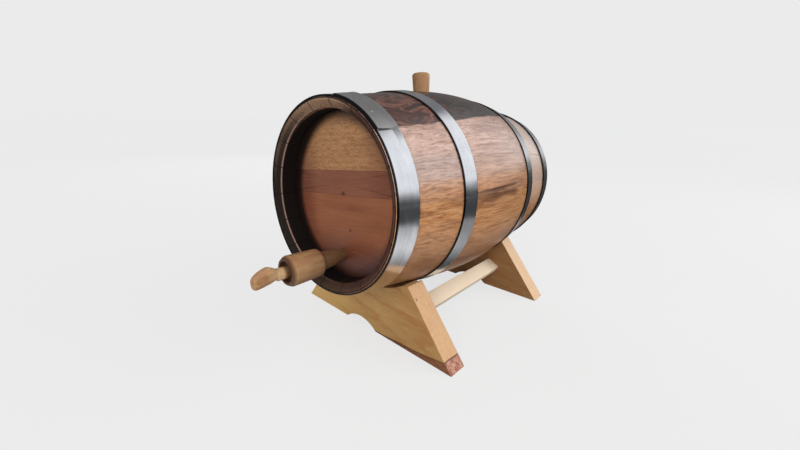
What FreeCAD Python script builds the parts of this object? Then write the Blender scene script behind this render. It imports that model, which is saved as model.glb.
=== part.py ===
import FreeCAD, Part
import Sketcher
import math
import os

# Oak cask liquor dispenser on a pine cradle.
# Frame: X to the right, Y from the tap (front) to the back, Z up, millimetres.
# The origin is on the resting surface, under the middle of the whole object.
# The cask is drawn in its own frame: local Y is the axis of the cask, local
# y = 0 is the plane of the front stave ends and local +Z points at the bung.

V = FreeCAD.Vector
doc = FreeCAD.newDocument("oak_cask_dispenser")

# ---------------------------------------------------------------- dimensions
DIMS = [
    # cask, staves
    ("CaskLength", 338.4), ("StaveEndRadius", 98.5), ("BilgeRadius", 117.0),
    ("StaveThickness", 14.0), ("StaveCount", 18), ("StaveAngle", 20.0),
    ("TaperLength", 108.3), ("TaperTopRadius", 112.95),
    ("BilgeCurveRadius", 461.0), ("InnerCurveRadius", 447.0),
    ("ChimeFlatRadius", 95.0), ("ChimeBevelDepth", 5.7), ("ChimeInnerRadius", 88.5),
    ("ChimeFootRadius", 87.7), ("CrozeStart", 24.0), ("CrozeWidth", 5.0),
    ("CrozeRadius", 90.8), ("HowelRadius", 88.3),
    # heads
    ("HeadDepth", 22.0), ("HeadThickness", 14.0), ("HeadRadius", 87.35),
    ("TongueRadius", 90.6), ("TongueWidth", 5.0), ("HeadJointUpper", 27.6),
    ("HeadJointLower", 2.0), ("HeadDowelRadius", 2.5), ("HeadDowelLength", 24.0),
    ("HeadDowelSpacing", 84.0),
    # hoops
    ("HoopThickness", 1.5), ("HeadHoopWidth", 25.0), ("HeadHoopCrease", 17.5),
    ("HeadHoopFrontRadius", 98.5), ("HeadHoopCreaseRadius", 100.835),
    ("HeadHoopBackRadius", 102.386), ("HeadHoopLap", 38.0),
    ("QuarterHoopStart", 85.8), ("QuarterHoopWidth", 20.0),
    ("QuarterHoopFrontRadius", 109.948), ("QuarterHoopBackRadius", 112.617),
    ("QuarterHoopLap", 30.0), ("HeadHoopRivetRadius", 99.668),
    ("QuarterHoopRivetRadius", 111.282), ("RivetRadius", 1.6),
    ("RivetHeadBall", 4.2), ("RivetHeadAngle", 55.0), ("RivetPitch", 22.0),
    # bung
    ("BungPosition", 160.0), ("BungHeight", 23.0), ("BungDepth", 17.0),
    ("BungTopRadius", 11.0), ("BungWaistRadius", 10.05), ("BungFootRadius", 9.3),
    ("BungRound", 3.0), ("BungGap", 0.3),
    # tap
    ("TapOffset", -1.96), ("TapDrop", 63.1), ("TapDroop", 0.8),
    ("TailLength", 22.0), ("TailRadius", 5.9), ("StemRadius", 6.5),
    ("StemEndRadius", 10.1), ("StemLength", 31.0), ("ShoulderLength", 35.0),
    ("BodyRadius", 14.45), ("BodyFrontRadius", 15.4), ("BodyChamferStart", 66.8),
    ("BodyLength", 70.8), ("BodyFaceRadius", 13.1), ("RecessStart", 65.0),
    ("RecessRadius", 10.6), ("TapBore", 3.0), ("CavityStart", 38.5),
    ("CavityRadius", 8.06), ("CavityFrontRadius", 9.26), ("PlugStart", 39.0),
    ("PlugRadius", 8.0), ("PlugFrontRadius", 9.2), ("PlugHole", 3.0),
    ("OutletPosition", 50.0), ("OutletRadius", 3.4), ("NeckRadius", 6.2),
    ("NeckWaist", 6.0), ("NeckEnd", 80.0), ("ThumbLength", 23.8),
    # cradle
    ("BoardWidth", 257.0), ("BoardTopWidth", 130.2), ("BoardHeight", 80.0),
    ("BoardThickness", 25.0), ("FrontBoardAhead", 0.6), ("FrontBoardTurn", 1.6),
    ("BoardPitch", 217.0), ("NotchWidth", 55.0), ("NotchRadius", 42.2),
    ("FrontNotchCentre", -14.0), ("RearNotchCentre", 17.0),
    ("FrontSaddleRadius", 110.7), ("FrontSaddleWidth", 119.4),
    ("HoopRebateStart", 20.0), ("HoopRebateRadius", 113.0), ("HoopRebateHeight", 173.3),
    ("RearSaddleRadius", 107.0), ("RearSaddleWidth", 128.0),
    ("StretcherWidth", 20.0), ("StretcherHeight", 10.0), ("StretcherTilt", 27.5),
    ("StretcherEdgeX", 48.0), ("StretcherEdgeZ", 45.4),
    ("DowelRadius", 2.5), ("DowelLength", 34.0), ("DowelDepth", 16.0),
    # how the cask lies in the cradle
    ("CaskPitch", 2.2), ("CaskRoll", 5.5), ("CaskAheadOfBoard", 65.5),
    ("CaskAxisHeight", 173.8), ("FrameShift", -70.03),
]
D = dict(DIMS)
sheet = doc.addObject("Spreadsheet::Sheet", "Sheet")
for i, (name, value) in enumerate(DIMS):
    sheet.set("A%d" % (i + 1), name)
    sheet.set("B%d" % (i + 1), repr(value))
    sheet.setAlias("B%d" % (i + 1), name)
doc.recompute()


def tokens(text):
    out, sign = [], 1.0
    for word in text.split():
        if word == "+":
            sign = 1.0
        elif word == "-":
            sign = -1.0
        else:
            out.append((sign, word))
            sign = 1.0
    return out


def number(word):
    if "/" in word:
        a, b = word.split("/")
        return number(a) / float(b)
    if "*" in word:
        a, b = word.split("*")
        return number(a) * number(b)
    return D[word] if word in D else float(word)


def val(text):
    """Value of a sum of sheet names and numbers such as 'CaskLength/2 - 3'."""
    return sum(sign * number(word) for sign, word in tokens(text))


def expr(text):
    """The same sum as an expression on the sheet."""
    out = []
    for sign, word in tokens(text):
        for name in sorted(D, key=len, reverse=True):
            if word == name or word.startswith(name + "/") or word.startswith(name + "*") \
                    or word.endswith("*" + name):
                word = word.replace(name, "Sheet." + name)
                break
        out.append(("-" if sign < 0 else "+") + " " + word)
    text = " ".join(out)
    return text[2:] if text.startswith("+ ") else "0 " + text


# ------------------------------------------------------------------- helpers
def bind(obj, **props):
    for prop, text in props.items():
        setattr(obj, prop, val(text))
        obj.setExpression(prop, expr(text))


def plane(body, role):
    for feature in body.Origin.OriginFeatures:
        if feature.Role == role:
            return feature


def sketch(body, name, role):
    sk = body.newObject("Sketcher::SketchObject", name)
    sk.AttachmentSupport = [(plane(body, role), "")]
    sk.MapMode = "FlatFace"
    return sk


def constrain_point(sk, geo, pos, ex, ey):
    for kind, text, axis in (("DistanceX", ex, -2), ("DistanceY", ey, -1)):
        if text == "0":
            sk.addConstraint(Sketcher.Constraint("PointOnObject", geo, pos, axis))
        else:
            i = sk.addConstraint(Sketcher.Constraint(kind, -1, 1, geo, pos, val(text)))
            sk.setExpression("Constraints[%d]" % i, expr(text))


def outline(sk, points, arcs=None):
    """Closed outline through points; arcs = {side: (radius, side it bulges to)}."""
    arcs = arcs or {}
    P = [V(val(a), val(b), 0) for a, b in points]
    n, ends = len(P), []
    for i in range(n):
        a, b = P[i], P[(i + 1) % n]
        if i in arcs:
            radius, bulge = arcs[i]
            if bulge == "left":
                a, b = b, a
            r = val(radius)
            along = (b - a).normalize()
            half = a.distanceToPoint(b) / 2
            c = (a + b) / 2 + V(-along.y, along.x, 0) * math.sqrt(r * r - half * half)
            a1, a2 = math.atan2(a.y - c.y, a.x - c.x), math.atan2(b.y - c.y, b.x - c.x)
            if a2 < a1:
                a2 += 2 * math.pi
            g = sk.addGeometry(Part.ArcOfCircle(Part.Circle(c, V(0, 0, 1), r), a1, a2), False)
            ends.append((g, 2, 1) if bulge == "left" else (g, 1, 2))
        else:
            g = sk.addGeometry(Part.LineSegment(a, b), False)
            ends.append((g, 1, 2))
    for i in range(n):
        g, _, e = ends[i]
        h, s, _ = ends[(i + 1) % n]
        sk.addConstraint(Sketcher.Constraint("Coincident", g, e, h, s))
    for i in range(n):
        g, s, _ = ends[i]
        constrain_point(sk, g, s, points[i][0], points[i][1])
    for i, (radius, bulge) in arcs.items():
        k = sk.addConstraint(Sketcher.Constraint("Radius", ends[i][0], val(radius)))
        sk.setExpression("Constraints[%d]" % k, expr(radius))


def disc(sk, cx, cy, radius):
    g = sk.addGeometry(Part.Circle(V(val(cx), val(cy), 0), V(0, 0, 1), val(radius)), False)
    constrain_point(sk, g, 3, cx, cy)
    k = sk.addConstraint(Sketcher.Constraint("Radius", g, val(radius)))
    sk.setExpression("Constraints[%d]" % k, expr(radius))


def revolved(name, points, arcs=None, angle="360"):
    """Body turned about its own Y axis; the profile is given as (radius, y)."""
    body = doc.addObject("PartDesign::Body", name)
    sk = sketch(body, name + "_profile", "XY_Plane")
    outline(sk, points, arcs)
    rev = body.newObject("PartDesign::Revolution", name + "_turn")
    rev.Profile = sk
    rev.ReferenceAxis = (sk, ["V_Axis"])
    rev.Midplane = True
    rev.Angle = val(angle)
    if angle != "360":
        rev.setExpression("Angle", expr(angle))
    sk.Visibility = False
    doc.recompute()
    return body


def pocket(body, name, role, circles, length, reversed_):
    sk = sketch(body, name + "_sketch", role)
    for cx, cy, radius in circles:
        disc(sk, cx, cy, radius)
    before = body.Shape.Volume
    cut = body.newObject("PartDesign::Pocket", name)
    cut.Profile = sk
    cut.Length = val(length)
    cut.setExpression("Length", expr(length))
    cut.Reversed = reversed_
    doc.recompute()
    if body.Shape.Volume > before - 1.0:
        raise RuntimeError(name + " cuts nothing")
    return cut


def cylinder(name, radius, height, placement):
    c = doc.addObject("Part::Cylinder", name)
    bind(c, Radius=radius, Height=height)
    c.Placement = placement
    return c


def cone(name, r1, r2, height, placement):
    c = doc.addObject("Part::Cone", name)
    bind(c, Radius1=r1, Radius2=r2, Height=height)
    c.Placement = placement
    return c


def cut(name, base, tools):
    if len(tools) == 1:
        tool = tools[0]
    else:
        tool = doc.addObject("Part::MultiFuse", name + "_tools")
        tool.Shapes = tools
    c = doc.addObject("Part::Cut", name)
    c.Base = base
    c.Tool = tool
    return c


def at(x, y, z, axis=None, angle=0.0):
    r = FreeCAD.Rotation(V(*axis), angle) if axis else FreeCAD.Rotation()
    return FreeCAD.Placement(V(x, y, z), r)


NODES = []


def node(obj, label, placement):
    obj.Label = label
    obj.Placement = placement
    NODES.append((label, obj))
    return obj


ALONG_Y = ((1, 0, 0), -90)          # turns a primitive's own Z axis to +Y

# ------------------------------------------------- where the cask is carried
# The cask lies nose up by CaskPitch, because the front board carries it
# nearer the bilge than the rear board does, and is rolled about its own axis.
PITCH = FreeCAD.Rotation(V(1, 0, 0), -D["CaskPitch"])
ROLL = FreeCAD.Rotation(V(0, 1, 0), -D["CaskRoll"])
base = PITCH.multVec(V(0, -D["CaskAheadOfBoard"], D["CaskAxisHeight"]))
CASK = FreeCAD.Placement(base + V(0, D["FrameShift"], 0), PITCH.multiply(ROLL))
CRADLE = at(0, D["FrameShift"], 0)

# -------------------------------------------------------------------- staves
# Each stave is one 20 degree sector with the bilge curve in the middle and
# straight tapers to both ends. Inside each end: flat, chime bevel, croze.
prof = [
    ("StaveEndRadius", "0"),
    ("TaperTopRadius", "TaperLength"),
    ("TaperTopRadius", "CaskLength - TaperLength"),
    ("StaveEndRadius", "CaskLength"),
    ("ChimeFlatRadius", "CaskLength"),
    ("ChimeInnerRadius", "CaskLength - ChimeBevelDepth"),
    ("ChimeFootRadius", "CaskLength - CrozeStart"),
    ("CrozeRadius", "CaskLength - CrozeStart"),
    ("CrozeRadius", "CaskLength - CrozeStart - CrozeWidth"),
    ("HowelRadius", "CaskLength - CrozeStart - CrozeWidth"),
    ("TaperTopRadius - StaveThickness", "CaskLength - TaperLength"),
    ("TaperTopRadius - StaveThickness", "TaperLength"),
    ("HowelRadius", "CrozeStart + CrozeWidth"),
    ("CrozeRadius", "CrozeStart + CrozeWidth"),
    ("CrozeRadius", "CrozeStart"),
    ("ChimeFootRadius", "CrozeStart"),
    ("ChimeInnerRadius", "ChimeBevelDepth"),
    ("ChimeFlatRadius", "0"),
]
stave_arcs = {1: ("BilgeCurveRadius", "right"), 10: ("InnerCurveRadius", "left")}
for k in range(int(D["StaveCount"])):
    name = "stave_%02d" % (k + 1)
    body = revolved(name + "_body", prof, stave_arcs, "StaveAngle")
    angle = 90.0 - k * D["StaveAngle"]          # stave 01 carries the bung
    turn = FreeCAD.Placement(V(0, 0, 0), FreeCAD.Rotation(V(0, 1, 0), -angle))
    if k == 0:
        hole = cone("bung_hole", "BungFootRadius + BungGap", "BungTopRadius + BungGap",
                    "BungDepth + BungHeight",
                    FreeCAD.Placement(V(D["BilgeRadius"] - D["BungDepth"], D["BungPosition"], 0),
                                      FreeCAD.Rotation(V(0, 1, 0), 90)))
        body = cut("bung_stave", body, [hole])
        node(body, "bung_stave", CASK.multiply(turn))
    else:
        node(body, name, CASK.multiply(turn))

# --------------------------------------------------------------------- heads
# Each head is three boards, edge to edge on dowels, held by a tongue in the
# croze. The slabs below cut one turned disc into its boards.
SLABS = [("upper", "HeadJointUpper", "100"),
         ("middle", "HeadJointLower", "HeadJointUpper"),
         ("lower", "- 100", "HeadJointLower")]


def head_board(end, part, low, high):
    tag = "%s_%s" % (end, part)
    front = end == "front"
    y0 = "HeadDepth" if front else "CaskLength - HeadDepth - HeadThickness"
    t0 = "CrozeStart" if front else "CaskLength - CrozeStart - CrozeWidth"
    plate = cylinder(tag + "_plate", "HeadRadius", "HeadThickness", at(0, val(y0), 0, *ALONG_Y))
    tongue = cylinder(tag + "_tongue", "TongueRadius", "TongueWidth", at(0, val(t0), 0, *ALONG_Y))
    whole = doc.addObject("Part::Fuse", tag + "_disc")
    whole.Base, whole.Tool = plate, tongue
    slab = doc.addObject("Part::Box", tag + "_slab")
    bind(slab, Length="200", Width="40", Height=high + " - " + low if not low.startswith("- ")
         else high + " + " + low[2:])
    slab.Placement = at(-100, val(y0) - 13, val(low))
    board = doc.addObject("Part::Common", tag + "_board")
    board.Base, board.Tool = whole, slab
    tools = []
    mid_y = val(y0) + D["HeadThickness"] / 2
    for joint in ("HeadJointUpper", "HeadJointLower"):
        if joint in (low, high):
            for side in (-1, 1):
                tools.append(cylinder("%s_%s_hole%d" % (tag, joint, side), "HeadDowelRadius",
                                      "HeadDowelLength",
                                      at(side * D["HeadDowelSpacing"] / 2, mid_y,
                                         val(joint) - D["HeadDowelLength"] / 2)))
    if front and part == "lower":
        # tapered hole that the tail of the tap is driven into
        tools.append(cone("tap_hole", "TailRadius", "StemRadius", "TailLength",
                          TAP_LOCAL.multiply(FreeCAD.Placement(
                              V(0, -D["TailLength"], 0), FreeCAD.Rotation(V(1, 0, 0), -90)))))
    return cut(tag + "_head", board, tools)


TAP_LOCAL = FreeCAD.Placement(V(D["TapOffset"], D["HeadDepth"], -D["TapDrop"]),
                              FreeCAD.Rotation(V(1, 0, 0), 180 + D["TapDroop"]))
for end in ("front", "rear"):
    for part, low, high in SLABS:
        node(head_board(end, part, low, high), "%s_head_%s_board" % (end, part), CASK)
    y = D["HeadDepth"] + D["HeadThickness"] / 2
    if end == "rear":
        y = D["CaskLength"] - y
    pins = []
    for joint in ("HeadJointUpper", "HeadJointLower"):
        for side in (-1, 1):
            pins.append(cylinder("%s_%s_pin%d" % (end, joint, side), "HeadDowelRadius",
                                 "HeadDowelLength",
                                 at(side * D["HeadDowelSpacing"] / 2, y,
                                    D[joint] - D["HeadDowelLength"] / 2)))
    group = doc.addObject("Part::Compound", end + "_pins")
    group.Links = pins
    node(group, end + "_head_dowels", CASK)

# --------------------------------------------------------------------- hoops
# Steel strip bent to a ring on the taper of the staves, its ends lapped and
# held by two rivets. The lap is a second layer of strip outside the first.
SLOPE = math.degrees(math.atan2(D["TaperTopRadius"] - D["StaveEndRadius"], D["TaperLength"]))


def hoop(name, corners, lap_angle, rivet_y, rivet_r, turned_to, mirrored):
    """corners: (inner radius, y) along the strip, from its smaller edge."""
    def place(y):
        return "CaskLength - " + y.replace(" + ", " - ") if mirrored else y

    def ring(first, second):
        low = [(r + first, y) for r, y in corners]
        high = [(r + second, y) for r, y in corners]
        pts = low + high[::-1]
        return [(r, "CaskLength" if mirrored and y == "0" else place(y)) for r, y in pts]
    body = revolved(name + "_strip", ring("", " + HoopThickness"))
    sk = sketch(body, name + "_lap_profile", "XY_Plane")
    outline(sk, ring(" + HoopThickness", " + 2*HoopThickness"))
    lap = body.newObject("PartDesign::Revolution", name + "_lap")
    lap.Profile = sk
    lap.ReferenceAxis = (sk, ["V_Axis"])
    lap.Midplane = True
    lap.Angle = val(lap_angle)
    lap.setExpression("Angle", expr(lap_angle))
    sk.Visibility = False
    doc.recompute()
    # two rivets through both layers, square to the strip
    y = val(place(rivet_y))
    tilt = SLOPE if mirrored else -SLOPE
    step = math.degrees(math.asin(D["RivetPitch"] / 2 / val(rivet_r)))
    holes, out = [], []
    for side in (-1, 1):
        spot = FreeCAD.Placement(V(0, 0, 0), FreeCAD.Rotation(V(0, 1, 0), side * step)).multiply(
            FreeCAD.Placement(V(val(rivet_r), y, 0), FreeCAD.Rotation(V(0, 0, 1), tilt).multiply(
                FreeCAD.Rotation(V(0, 1, 0), 90))))
        holes.append(cylinder("%s_hole_%d" % (name, side + 2), "RivetRadius", "8",
                              spot.multiply(at(0, 0, -2))))
        shank = cylinder("%s_shank_%d" % (name, side + 2), "RivetRadius",
                         "2*HoopThickness", spot.multiply(at(0, 0, 0.05)))
        dome = doc.addObject("Part::Sphere", "%s_dome_%d" % (name, side + 2))
        bind(dome, Radius="RivetHeadBall")
        dome.Angle1 = D["RivetHeadAngle"]
        dome.setExpression("Angle1", expr("RivetHeadAngle"))
        dome.Placement = spot.multiply(
            at(0, 0, 2 * D["HoopThickness"] + 0.02
               - D["RivetHeadBall"] * math.sin(math.radians(D["RivetHeadAngle"]))))
        rivet = doc.addObject("Part::Fuse", "%s_rivet_%d" % (name, side + 2))
        rivet.Base, rivet.Tool = shank, dome
        rivet.Placement = at(0, 0, 0, (0, 1, 0), -turned_to)
        out.append(rivet)
    whole = cut(name, body, holes)
    node(whole, name, CASK.multiply(at(0, 0, 0, (0, 1, 0), -turned_to)))
    return out


head_strip = [("HeadHoopFrontRadius", "0"), ("HeadHoopCreaseRadius", "HeadHoopCrease"),
              ("HeadHoopBackRadius", "HeadHoopWidth")]
quarter_strip = [("QuarterHoopFrontRadius", "QuarterHoopStart"),
                 ("QuarterHoopBackRadius", "QuarterHoopStart + QuarterHoopWidth")]
rivets = hoop("front_head_hoop", head_strip, "HeadHoopLap", "HeadHoopCrease/2",
              "HeadHoopRivetRadius", 58.0, False)
rivets += hoop("front_quarter_hoop", quarter_strip, "QuarterHoopLap",
               "QuarterHoopStart + QuarterHoopWidth/2", "QuarterHoopRivetRadius", 150.0, False)
rivets += hoop("rear_quarter_hoop", quarter_strip, "QuarterHoopLap",
               "QuarterHoopStart + QuarterHoopWidth/2", "QuarterHoopRivetRadius", 205.0, True)
rivets += hoop("rear_head_hoop", head_strip, "HeadHoopLap", "HeadHoopCrease/2",
               "HeadHoopRivetRadius", 130.0, True)
group = doc.addObject("Part::Compound", "rivets")
group.Links = rivets
node(group, "hoop_rivets", CASK)

# ---------------------------------------------------------------------- bung
bung = revolved("bung_body", [
    ("0", "- BungDepth"), ("BungFootRadius", "- BungDepth"), ("BungWaistRadius", "0"),
    ("BungTopRadius", "BungHeight - BungRound"),
    ("BungTopRadius - BungRound", "BungHeight"), ("0", "BungHeight")],
    {3: ("BungRound", "right")})
bung_local = FreeCAD.Placement(V(0, D["BungPosition"], D["BilgeRadius"]),
                               FreeCAD.Rotation(V(1, 0, 0), 90))
node(bung, "bung", CASK.multiply(bung_local))

# ----------------------------------------------------------------------- tap
# Local +Y runs from the face of the head out towards the handle, local +Z
# points down to the outlet.
TAP = CASK.multiply(TAP_LOCAL)
tap = revolved("tap_turned", [
    ("TapBore", "- TailLength"), ("TailRadius", "- TailLength"), ("StemRadius", "0"),
    ("StemEndRadius", "StemLength"), ("BodyRadius - 1.05", "ShoulderLength - 1.8"),
    ("BodyRadius", "ShoulderLength"),
    ("BodyFrontRadius", "BodyChamferStart"), ("BodyFaceRadius", "BodyLength"),
    ("RecessRadius", "BodyLength"), ("RecessRadius", "RecessStart"),
    ("CavityFrontRadius", "RecessStart"), ("CavityRadius", "CavityStart"),
    ("TapBore", "CavityStart")])
pocket(tap, "tap_outlet", "XY_Plane", [("0", "OutletPosition", "OutletRadius")], "20", True)
node(tap, "tap_body", TAP)

plug = revolved("key_turned", [
    ("PlugHole", "PlugStart"), ("PlugRadius", "PlugStart"), ("PlugFrontRadius", "RecessStart"),
    ("NeckRadius", "RecessStart"), ("NeckWaist", "RecessStart + 8"), ("NeckRadius", "NeckEnd"),
    ("0", "NeckEnd"), ("0", "OutletPosition + 4"), ("PlugHole", "OutletPosition + 4")])
# side opening of the key, turned away from the outlet while the tap is shut
pocket(plug, "key_port", "YZ_Plane", [("OutletPosition", "0", "PlugHole")], "20", True)
# The thumb piece is pared to flat facets from the round and droops to its tip.
# Each section: share of its length, centre below the axis, half height, half
# width.
sections = []
for i, (s, z, h2, w2) in enumerate([
        (0.0, -1.40, 5.15, 5.20), (0.16, -1.80, 6.50, 6.05), (0.33, -1.95, 7.93, 6.44),
        (0.52, -1.17, 7.94, 6.05), (0.72, 0.09, 7.59, 5.53), (0.91, 1.57, 6.47, 4.76),
        (1.0, 1.88, 4.90, 3.86)]):
    y = D["NeckEnd"] + s * D["ThumbLength"]
    eight = [(w2, 0.42 * h2), (0.42 * w2, h2), (-0.42 * w2, h2), (-w2, 0.42 * h2),
             (-w2, -0.42 * h2), (-0.42 * w2, -h2), (0.42 * w2, -h2), (w2, -0.42 * h2)]
    pts = [V(a, y, z + b) for a, b in eight]
    section = doc.addObject("Part::Feature", "thumb_section_%d" % (i + 1))
    section.Shape = Part.makePolygon(pts + [pts[0]])
    sections.append(section)
loft = doc.addObject("Part::Loft", "thumb_piece")
loft.Sections = sections
loft.Solid = True
loft.Ruled = True
key = doc.addObject("Part::Fuse", "key_whole")
key.Base, key.Tool = plug, loft
node(key, "tap_key", TAP)

# -------------------------------------------------------------------- cradle
# The front board stands turned by FrontBoardTurn about the vertical, its right
# end nearer the tap. The rear board is square to the cask.
HALF = D["BoardThickness"] / 2
FRONT_BOARD = at(0, D["FrontBoardAhead"] + HALF, 0, (0, 0, 1), -D["FrontBoardTurn"]).multiply(
    at(0, -HALF, 0))
REAR_BOARD = at(0, D["BoardPitch"], 0)


def stretcher_centre(side):
    a = math.radians(D["StretcherTilt"])
    x = D["StretcherEdgeX"] + D["StretcherWidth"] / 2 * math.cos(a) - D["StretcherHeight"] / 2 * math.sin(a)
    z = D["StretcherEdgeZ"] - D["StretcherWidth"] / 2 * math.sin(a) - D["StretcherHeight"] / 2 * math.cos(a)
    return side * x, z


def pin(name, side, end, frame):
    """Dowel of one end of a stretcher, or the tool for its hole, seen from frame."""
    x, z = stretcher_centre(side)
    if end == 0:
        face = FRONT_BOARD.multVec(V(0, D["BoardThickness"], 0))
        y = face.y - (x - face.x) * math.tan(math.radians(D["FrontBoardTurn"])) - D["DowelDepth"]
    else:
        y = D["BoardPitch"] + D["DowelDepth"] - D["DowelLength"]
    return cylinder(name, "DowelRadius", "DowelLength",
                    frame.inverse().multiply(at(x, y, z, *ALONG_Y)))


def board(name, notch, saddle_r, saddle_w, frame, end):
    body = doc.addObject("PartDesign::Body", name + "_body")
    sk = sketch(body, name + "_outline", "XZ_Plane")
    pts = [("- BoardWidth/2", "0"), (notch + " - NotchWidth/2", "0"),
           (notch + " + NotchWidth/2", "0"), ("BoardWidth/2", "0"),
           ("BoardTopWidth/2", "BoardHeight"), (saddle_w + "/2", "BoardHeight"),
           ("- " + saddle_w + "/2", "BoardHeight"), ("- BoardTopWidth/2", "BoardHeight")]
    outline(sk, pts, {1: ("NotchRadius", "left"), 5: (saddle_r, "left")})
    pad = body.newObject("PartDesign::Pad", name + "_pad")
    pad.Profile = sk
    pad.Length = D["BoardThickness"]
    pad.setExpression("Length", expr("BoardThickness"))
    doc.recompute()
    if body.Shape.BoundBox.YMax < 1.0:
        pad.Reversed = True
        doc.recompute()
    # blind dowel holes in the inner face, in line with the stretchers
    tools = [pin("%s_hole%d" % (name, side), side, end, frame) for side in (-1, 1)]
    if end == 0:
        # rebate along the back of the saddle for the quarter hoop
        tools.append(cylinder("hoop_rebate", "HoopRebateRadius", "BoardThickness",
                              at(0, D["HoopRebateStart"], D["HoopRebateHeight"], *ALONG_Y)))
    node(cut(name, body, tools), name, CRADLE.multiply(frame))


board("cradle_front_board", "FrontNotchCentre", "FrontSaddleRadius", "FrontSaddleWidth",
      FRONT_BOARD, 0)
board("cradle_rear_board", "RearNotchCentre", "RearSaddleRadius", "RearSaddleWidth",
      REAR_BOARD, 1)

# Slats between the boards. Each is drawn from inside the front board and cut
# back to its turned inner face.
for side, label in ((-1, "left_stretcher"), (1, "right_stretcher")):
    bar = doc.addObject("Part::Box", label + "_bar")
    bind(bar, Length="StretcherWidth", Width="BoardPitch - 20", Height="StretcherHeight")
    x, z = stretcher_centre(side)
    turn = FreeCAD.Rotation(V(0, 1, 0), side * D["StretcherTilt"])
    corner = V(x, 20, z) - turn.multVec(V(D["StretcherWidth"] / 2, 0, D["StretcherHeight"] / 2))
    frame = FreeCAD.Placement(corner, turn)
    slab = doc.addObject("Part::Box", label + "_slab")
    bind(slab, Length="400", Width="BoardThickness", Height="200")
    slab.Placement = frame.inverse().multiply(FRONT_BOARD).multiply(at(-200, 0, -50))
    tools = [slab] + [pin("%s_socket%d" % (label, end), side, end, frame) for end in (0, 1)]
    node(cut(label, bar, tools), label, CRADLE.multiply(frame))

group = doc.addObject("Part::Compound", "cradle_pins")
group.Links = [pin("cradle_pin_%d_%d" % (side, end), side, end, FreeCAD.Placement())
               for side in (-1, 1) for end in (0, 1)]
node(group, "stretcher_dowels", CRADLE)

# -------------------------------------------------------------- check, write
doc.recompute()
bad = [o.Name for o in doc.Objects if "Invalid" in o.State or "Error" in o.State]
if bad:
    raise RuntimeError("failed objects: " + ", ".join(bad))
labels = [label for label, _ in NODES]
if len(set(labels)) != len(labels) or len(labels) > 60:
    raise RuntimeError("node names are not unique")
shapes = []
for label, obj in NODES:
    shape = obj.Shape
    if shape.isNull() or not shape.isValid() or not shape.Solids:
        raise RuntimeError(label + " is not a valid solid")
    shapes.append((label, shape))
os.makedirs("parts", exist_ok=True)
for old in os.listdir("parts"):
    if old.endswith(".step") and old[:-5] not in labels:
        os.remove(os.path.join("parts", old))
for label, shape in shapes:
    shape.exportStep(os.path.join("parts", label + ".step"))
box = FreeCAD.BoundBox()
for label, shape in shapes:
    box.add(shape.BoundBox)
    print("%-26s solids %d  volume %10.1f mm3" % (label, len(shape.Solids), shape.Volume))
print("nodes", len(shapes), "box X %.2f %.2f  Y %.2f %.2f  Z %.2f %.2f" % (
    box.XMin, box.XMax, box.YMin, box.YMax, box.ZMin, box.ZMax))
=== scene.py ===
import bpy
import bmesh
import math
import numpy as np
from mathutils import Matrix, Vector


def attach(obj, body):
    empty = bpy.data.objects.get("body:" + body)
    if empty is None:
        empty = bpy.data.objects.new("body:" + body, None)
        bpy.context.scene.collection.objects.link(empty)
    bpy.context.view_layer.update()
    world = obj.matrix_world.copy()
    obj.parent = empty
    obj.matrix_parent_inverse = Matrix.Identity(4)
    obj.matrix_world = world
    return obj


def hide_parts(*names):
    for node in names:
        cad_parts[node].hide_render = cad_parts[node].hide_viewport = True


# A coopered cask on a two-board cradle, with a turned tap and a bung.
# Pieces are drawn in millimetres in three local frames and carried into the
# shared frame (metres) by the matrices below.
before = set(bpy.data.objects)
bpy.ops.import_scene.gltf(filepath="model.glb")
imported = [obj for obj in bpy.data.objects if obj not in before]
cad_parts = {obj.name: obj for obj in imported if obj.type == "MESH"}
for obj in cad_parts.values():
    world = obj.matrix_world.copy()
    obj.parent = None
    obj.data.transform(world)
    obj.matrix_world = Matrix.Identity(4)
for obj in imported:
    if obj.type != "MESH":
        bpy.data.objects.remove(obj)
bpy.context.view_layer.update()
MM = 0.001
SHIFT = -70.03


def rot(axis, deg):
    return Matrix.Rotation(math.radians(deg), 4, axis)


PITCH = rot("X", -2.2)
BASE = PITCH @ Vector((0, -65.5, 173.8)) + Vector((0, SHIFT, 0))
CASK = Matrix.Translation(BASE) @ PITCH @ rot("Y", -5.5)
TAP = CASK @ Matrix.Translation((-1.96, 22.0, -63.1)) @ rot("X", 180.8)
BUNG = CASK @ Matrix.Translation((0, 160.0, 117.0)) @ rot("X", 90)
STAND = Matrix.Translation((0, SHIFT, 0))
THICK = 25.0                                      # cradle boards
FRONT_BOARD = Matrix.Translation((0, 0.6 + THICK / 2, 0)) @ rot("Z", -1.6) @ Matrix.Translation((0, -THICK / 2, 0))
REAR_BOARD = Matrix.Translation((0, 217.0, 0))
RNG = np.random.RandomState(7)


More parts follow.
